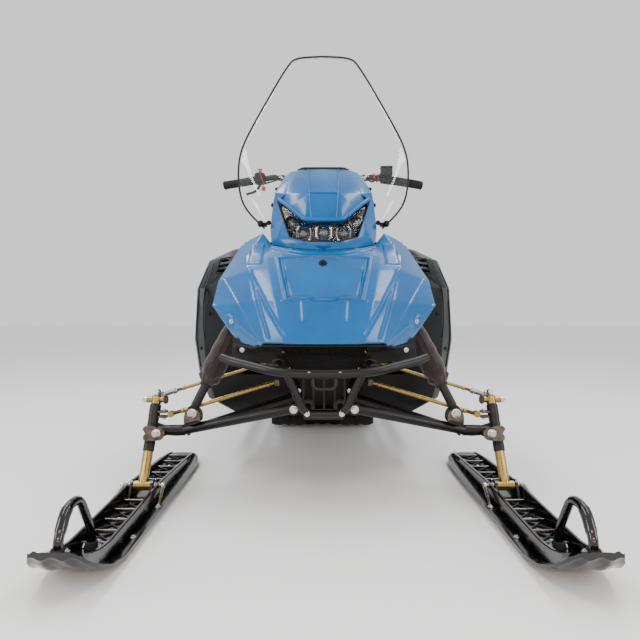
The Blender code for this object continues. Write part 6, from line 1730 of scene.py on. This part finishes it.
def lugShape(distance, middle, width):
    # One paddle: a wall that thins upward, its top edge notched, with gussets on both sides.
    wall, high = track["wall"], track["lug"]
    x = np.linspace(-width / 2, width / 2, 9)
    notch = np.array([0.78, 0.97, 1.0, 0.90, 1.0, 0.90, 1.0, 0.97, 0.78])
    level = np.array([0.0, 0.12, 0.55, 0.93, 1.0])
    thick = np.array([0.0095, 0.0062, 0.0048, 0.0040, 0.0026])
    sides = []
    for sign in (-1, 1):
        u = np.broadcast_to(sign * thick[:, None], (5, 9))
        v = wall - 0.002 + (high + 0.0019) * level[:, None] * (1 - (1 - notch[None, :]) * level[:, None])
        sides.append(onBelt(np.full((5, 9), distance), middle + x[None, :], u, v))
    points = np.concatenate([sides[0], sides[1][::-1]])
    faces = gridFaces(10, 9)
    rows = np.arange(10)
    for column in (0, 8):
        ring = (rows * 9 + column).tolist()
        faces.append(ring if column else ring[::-1])
    faces.append([0, *range(1, 9), *(81 + np.arange(8, -1, -1)).tolist()])
    shapes = [(points.reshape(-1, 3), faces)]
    for place in np.linspace(-0.36, 0.36, 3) * width:
        for sign in (-1, 1):
            corner = [(-0.003, 0.005, 0.006), (-0.003, 0.0175, 0.006), (-0.003, 0.005, 0.034),
                (0.003, 0.005, 0.006), (0.003, 0.0175, 0.006), (0.003, 0.005, 0.034)]
            c = np.array(corner)
            gusset = onBelt(np.full(6, distance), middle + place + c[:, 0], sign * c[:, 1], c[:, 2])
            shapes.append((gusset, [[0, 1, 2], [3, 5, 4], [0, 3, 4, 1], [1, 4, 5, 2], [2, 5, 3, 0]]))
    return joined(shapes)


def buildTrack():
    total = beltLine()[1][-1]
    pairs = round(total / track["pitch"] / 2)
    half, wall = track["width"] / 2, track["wall"]
    across = np.linspace(-half, half, 31)
    ringX = np.concatenate([across, across[::-1]])
    d = np.linspace(0, total, pairs * 2 * 8, endpoint=False)
    phase = np.cos(d / total * pairs * 2 * 2 * np.pi)[:, None]
    edge = 0.0022 * rise(np.abs(across), half - 0.006, half)[None, :]
    guide = 0.0022 * (ridge(np.abs(across) - 0.110, 0.016))[None, :]
    inner = 0.0006 + edge * 0.9
    outer = wall - edge + 0.0016 * np.maximum(phase, 0) + guide
    out = np.concatenate([np.broadcast_to(inner, outer.shape), outer[:, ::-1]], 1)
    points = onBelt(np.broadcast_to(d[:, None], out.shape), ringX[None, :], np.zeros(out.shape), out)
    shapes = [(points.reshape(-1, 3), gridFaces(len(d), len(ringX), wrapRows=True, wrapColumns=True))]
    for share, width, offset in track["columns"]:
        for number in range(pairs):
            shapes.append(lugShape((number + offset) * total / pairs, share * track["width"],
                width * track["width"]))
    addPiece("trackBelt", shapes, "rubber", angle=40, node="track")
    clips = []
    for number in range(pairs * 2):
        for x in (-0.1425, -0.0775, 0.0775, 0.1425):
            local = np.array([(-1, -1), (1, -1), (1, 1), (-1, 1)]) * (0.009, 0.012)
            at = (number + 0.5) * total / pairs / 2
            rings = [onBelt(np.full(4, at), x + local[:, 0] * f, local[:, 1] * f, np.full(4, v))
                for f, v in ((1.0, wall - 0.001), (1.0, wall + 0.0016), (0.6, wall + 0.0032))]
            clips.append((np.concatenate(rings), gridFaces(3, 4, wrapColumns=True) + [[8, 9, 10, 11]]))
    addPiece("trackClips", clips, "rubber", material=boltSteel)


def ringShape(place, axis, loop, sides=40):
    # A closed outline of radius and height turned about an axis.
    radius, height = np.array(loop, float).T
    a = np.linspace(0, 2 * np.pi, sides, endpoint=False)[:, None]
    points = np.stack(np.broadcast_arrays(radius * np.cos(a), radius * np.sin(a), height), -1)
    faces = gridFaces(sides, len(loop), wrapRows=True, wrapColumns=True)
    return points.reshape(-1, 3) @ turnTo(axis).T + place, faces


def wheelShapes(x, station, height, radius, width, spokes=6):
    # Tyre, and the moulded wheel: a rim, a hub and spokes.
    place, axis, w = spot(x, station, height), (1, 0, 0), width / 2
    tyre = ringShape(place, axis, [(radius - 0.008, -w), (radius - 0.002, -w), (radius, -w + 0.002),
        (radius, w - 0.002), (radius - 0.002, w), (radius - 0.008, w)], 44)
    rim = ringShape(place, axis, [(radius - 0.018, -w * 0.8), (radius - 0.0075, -w * 0.92),
        (radius - 0.0075, w * 0.92), (radius - 0.018, w * 0.8)], 44)
    hub = disc(place - np.array([w * 1.05, 0, 0]), axis, [(0.024, 0), (0.026, w * 0.3), (0.026, w * 1.8),
        (0.024, w * 2.1)], 28)
    arms = []
    for number in range(spokes):
        a = number * 2 * math.pi / spokes
        way = np.array([0, math.cos(a), math.sin(a)])
        arms.append(tube([place + way * 0.022, place + way * (radius - 0.014)], w * 0.62, 8, up=(1, 0, 0),
            flatten=0.8))
    web = ringShape(place, axis, [(0.022, -0.002), (radius - 0.014, -0.002), (radius - 0.014, 0.002),
        (0.022, 0.002)], 44)
    return tyre, joined([rim, hub, web] + arms)


def axleShape(reach, station, height, radius):
    line = [spot(-reach, station, height), spot(reach, station, height)]
    return tube(line, radius, 20)


def buildRunningGear():
    sets = (("rear_idler_wheels", 2.350, 0.146, 0.0995, 0.024, (-0.16, 0.0, 0.16), 0.20),
        ("bogie_wheels_a", 1.42, 0.1083, 0.062, 0.024, (-0.155, 0.155), 0.175),
        ("bogie_wheels_b", 1.90, 0.1083, 0.062, 0.024, (-0.155, 0.155), 0.175))
    for node, station, height, radius, width, places, reach in sets:
        made = [wheelShapes(x, station, height, radius, width) for x in places]
        name = "".join(word.title() for word in node.split("_"))
        addPiece("tyres" + name, [m[0] for m in made], "rubber")
        addPiece("wheels" + name, [m[1] for m in made], "black_plastic", node=node)
        addPiece("axle" + name, axleShape(reach, station, height, 0.0088), "alloy_sheet")
        ends = [(spot(side * (abs(places[0]) + width / 2 + 0.0015), station, height), (side, 0, 0))
            for side in (-1, 1)]
        addBolts("bolts" + name, ends, 0.0085)
    shapes = [axleShape(0.2737, 0.780, 0.335, 0.011)]
    turns = np.linspace(0, 2 * np.pi, 144, endpoint=False)
    reach = 0.0905 - 0.012 * rise(-np.cos(turns * 9), -0.1, 0.5)
    for x in (-0.130, 0.130):
        rings = [np.column_stack([np.full(144, x + side * 0.015),
            0.780 + pivotY + reach * f * np.cos(turns), 0.335 + reach * f * np.sin(turns)])
            for side, f in ((-1, 0.3), (-1, 0.98), (1, 0.98), (1, 0.3))]
        shapes.append((np.concatenate(rings), gridFaces(4, 144, wrapRows=True, wrapColumns=True)))
    addPiece("driveSprockets", shapes, "black_plastic", node="drive_axle")
    softened("slide_rails", 1.5)
    softened("skid_arm_front", 1.5)
    softened("skid_arm_rear", 1.5)
    seats = [(spot(side * 0.1172, s, 0.071), (side, 0, 0)) for side in (-1, 1) for s in (1.25, 1.68, 2.19)]
    addBolts("railBolts", seats, 0.0075)
    strips = [block(spot(side * 0.110, 1.71, 0.0485), (0.0155, 1.12, 0.0040), chamfer=0.2)
        for side in (-1, 1)]
    addPiece("railSliders", strips, "black_gloss_plastic")


# Rack, rear bumper, lamp and snow flap

rack = {"front": 2.06, "back": 2.50, "half": 0.240, "height": 0.625, "diameter": 0.022, "foot": 0.5353}


def buildRack():
    front, back, half, z = rack["front"], rack["back"], rack["half"], rack["height"]
    loop = symmetric([(0.03 - half, front, z), (-half, front + 0.04, z), (-half, back, z)])
    shapes = [bent(loop, rack["diameter"], 0.05, 20)]
    shapes += [tube(symmetric([(-half, s, z)]), rack["diameter"] * 0.4, 16)
        for s in (front + 0.044, front + 0.1804, front + 0.308)]
    feet = [(side * (half - 0.012), s) for side in (-1, 1) for s in (front + 0.08, back - 0.06)]
    for x, s in feet:
        post = [spot(x, s, z), spot(x, s, rack["foot"])]
        shapes.append(tube(post, rack["diameter"] * 0.4, 16, up=(0, 1, 0)))
        shapes.append(block(spot(x * 0.97, s, rack["foot"] + 0.0022), (0.046, 0.050, 0.0040), chamfer=0.2))
    addPiece("rackTubes", shapes, "black_painted_steel", node="cargo_rack")
    caps = [disc(spot(side * (half - 0.03), front - 0.0005, z), (0, -1, 0),
        [(0.0112, -0.003), (0.0112, 0.002), (0.008, 0.004)], 20) for side in (-1, 1)]
    addPiece("rackCaps", caps, "rubber")
    seats = [(spot(x * 0.97 + dx, s + dy, rack["foot"] + 0.0044), (0, 0, 1)) for x, s in feet
        for dx, dy in ((-0.014, 0.016), (-0.014, -0.016))]
    addBolts("rackBolts", seats, 0.005)


tail = {"half": 0.2913, "height": 0.390, "front": 2.25, "back": 2.626, "diameter": 0.026,
    "flap": ((2.528, 0.5305), (2.534, 0.450), (2.540, 0.330), (2.585, 0.262), (2.638, 0.200),
    (2.697, 0.111)), "flapHalf": 0.239}


def buildTail():
    half, z = tail["half"], tail["height"]
    line = symmetric([(-half, tail["front"], z), (-half, tail["back"], z)])
    shapes = [bent(line, tail["diameter"], 0.06, 20)]
    for drop in (0.0, 0.046):
        outline = np.array([(-0.035, -0.004), (-0.035, 0.030), (-0.022, 0.052), (0, 0.057), (0.022, 0.052),
            (0.035, 0.030), (0.035, -0.004)])
        low = np.column_stack([outline[:, 0], tail["back"] + outline[:, 1] + pivotY,
            np.full(7, z + 0.001 - drop)])
        shapes.append((np.concatenate([low, low + (0, 0, 0.010)]), closedFaces(2, 7)))
    shapes.append(block(spot(0, tail["back"] + 0.004, z - 0.017), (0.070, 0.014, 0.056), chamfer=0.15))
    addPiece("rearBumperTube", shapes, "black_painted_steel", node="rear_bumper")
    pin = spot(0, tail["back"] + 0.036, z)
    shapes = [disc(pin - (0, 0, 0.060), (0, 0, 1), [(0, 0), (0.0055, 0.002), (0.0065, 0.006),
        (0.0065, 0.072), (0.0105, 0.073), (0.0105, 0.078), (0, 0.079)], 20)]
    loop = [pin + (0.022 * math.cos(a), 0.010 * math.sin(a), 0.028 + 0.012 * math.sin(a))
        for a in np.linspace(0, 2 * np.pi, 28, endpoint=False)]
    shapes.append(tube(loop, 0.0018, 8, closed=True, up=(0, 0.77, -0.64)))
    addPiece("hitchPin", shapes, "zinc_yellow_steel", material=boltSteel)
    brackets = [block(spot(side * 0.2805, tail["front"] + 0.03 + ds, z), (0.004, 0.050, 0.040),
        chamfer=0.15) for side in (-1, 1) for ds in (0, 0.15)]
    addPiece("rearBumperBrackets", brackets, "black_painted_steel")
    seats = [(spot(side * 0.2826, tail["front"] + 0.03 + ds, z + 0.0155), (side, 0, 0)) for side in (-1, 1)
        for ds in (0, 0.15)]
    addBolts("rearBumperBolts", seats, 0.0045)


def buildFlap():
    # A sheet down the line; the corners of its foot curl by 12 mm.
    line = smoothPath([(0, s, z) for s, z in tail["flap"]], 70)
    t = np.linspace(0, 1, 70)[:, None]
    u = np.linspace(-1, 1, 61)[None, :]
    curl = -0.012 * t ** 3 * np.abs(u) ** 2.5 - 0.003 * t * (1 + np.sin(u * 9))
    ribs = 0.0012 * ridge(np.mod(t * 9, 1) - 0.5, 0.18) * (t < 0.86) * (t > 0.1) * (np.abs(u) < 0.9)
    corner = 1 - 0.05 * np.clip((t - 0.93) / 0.07, 0, 1) ** 2
    points = np.stack(np.broadcast_arrays(u * tail["flapHalf"] * corner,
        line[:, 1][:, None] + pivotY - 0.0005 + curl + ribs, line[:, 2][:, None]), -1)
    piece = addPiece("snowFlapSheet", (points.reshape(-1, 3), gridFaces(70, 61)), "rubber", node="snow_flap")
    walled(piece, 0.0050, 1)
    top = 0.515
    seats = [(spot(x, 2.5315, top), (0, 1, 0)) for x in (-0.2, -0.1, 0.0, 0.1, 0.2)]
    strip = block(spot(0, 2.5300, top), (0.45, 0.003, 0.022), chamfer=0.2)
    addPiece("flapStrip", strip, "alloy_sheet")
    addBolts("flapBolts", seats, 0.006)


def buildTailLamp():
    place = spot(0, 2.542, 0.5553)
    softened("tail_lamp", 3.0, segments=3)
    rows = [block(place + (x, 0.0152, z), (0.0125, 0.0016, 0.0135), chamfer=0.25)
        for x in np.linspace(-0.088, 0.088, 12) for z in (-0.0085, 0.0085)]
    addPiece("tailLampFlutes", rows, "red_plastic")
    shell = block(place + (0, -0.006, 0), (0.226, 0.018, 0.0440), chamfer=0.12)
    addPiece("tailLampShell", shell, "black_plastic")


# Camera, light and floor

photo = {"focalPixels": 580, "size": 640, "eye": (-0.0117, -2.7575, 0.586), "downDegrees": 1.4}


def buildCamera():
    data = bpy.data.cameras.new("photoView")
    data.sensor_width = 36
    data.lens = data.sensor_width * photo["focalPixels"] / photo["size"]
    camera = bpy.data.objects.new("photoView", data)
    camera.location = photo["eye"]
    camera.rotation_euler = (math.radians(90 - photo["downDegrees"]), 0, 0)
    bpy.context.scene.collection.objects.link(camera)
    bpy.context.scene.camera = camera


def addLight(name, place, target, size, power, tint="#ffffff"):
    data = bpy.data.lights.new(name, "AREA")
    data.shape = "RECTANGLE"
    data.size, data.size_y = size
    data.energy = power
    data.color = linear(tint)[:3]
    light = bpy.data.objects.new(name, data)
    light.location = place
    light.rotation_euler = (Vector(target) - Vector(place)).to_track_quat("-Z", "Y").to_euler()
    bpy.context.scene.collection.objects.link(light)


def buildStudio():
    world = bpy.data.worlds.new("paleRoom")
    world.use_nodes = True
    world.node_tree.nodes["Background"].inputs["Color"].default_value = linear("#f4f5f6")
    world.node_tree.nodes["Background"].inputs["Strength"].default_value = 1.15
    bpy.context.scene.world = world
    addLight("leftOverhead", (-1.5, -0.6, 3.2), (0, -0.6, 0.5), (4.0, 0.35), 60)
    addLight("rightOverhead", (1.5, -0.6, 3.2), (0, -0.6, 0.5), (4.0, 0.35), 50)
    addLight("leftSoftbox", (-3.4, -2.8, 1.6), (0, -0.6, 0.6), (1.0, 2.0), 60)
    addLight("rightSoftbox", (3.4, -2.8, 1.6), (0, -0.6, 0.6), (1.0, 2.0), 50)
    addLight("frontStrip", (0, -4.6, 1.6), (0, -0.8, 0.6), (2.6, 0.3), 30, "#ffd9c2")
    addLight("warmBounce", (0, -3.6, 0.60), (0, -0.8, 0.42), (3.2, 0.24), 12, "#ffc9a8")
    mesh = bpy.data.meshes.new("studioFloor")
    reach = 15.0
    corners = [(-reach, -reach, 0), (reach, -reach, 0), (reach, reach, 0), (-reach, reach, 0)]
    mesh.from_pydata(corners, [], [(0, 1, 2, 3)])
    mesh.materials.append(newMaterial("paleStudioFloor", "#f2f2f1", 0.75))
    floor = bpy.data.objects.new("studioFloor", mesh)
    bpy.context.scene.collection.objects.link(floor)


buildCamera()
buildStudio()
print("camera, lights and floor")
buildHood()
buildHoodFittings()
buildPod()
buildLamps()
buildWindshield()
buildWindshieldMounts()
buildSidePanels()
buildFrontGrille()
print("body and lamps")
buildBumper()
buildBulkhead()
buildSpindles()
buildKnuckles()
buildArms()
buildRods()
buildShocks()
print("front gear")
buildSkis()
buildSkiHandles()
buildHandlebar()
buildControls()
print("skis and steering")
buildSeat()
print("seat")
buildTank()
buildConsole()
buildGauge()
buildTunnel()
buildBoards()
buildTrack()
buildRunningGear()
print("track and tunnel")
buildRack()
buildTail()
buildFlap()
buildTailLamp()
print("rear")
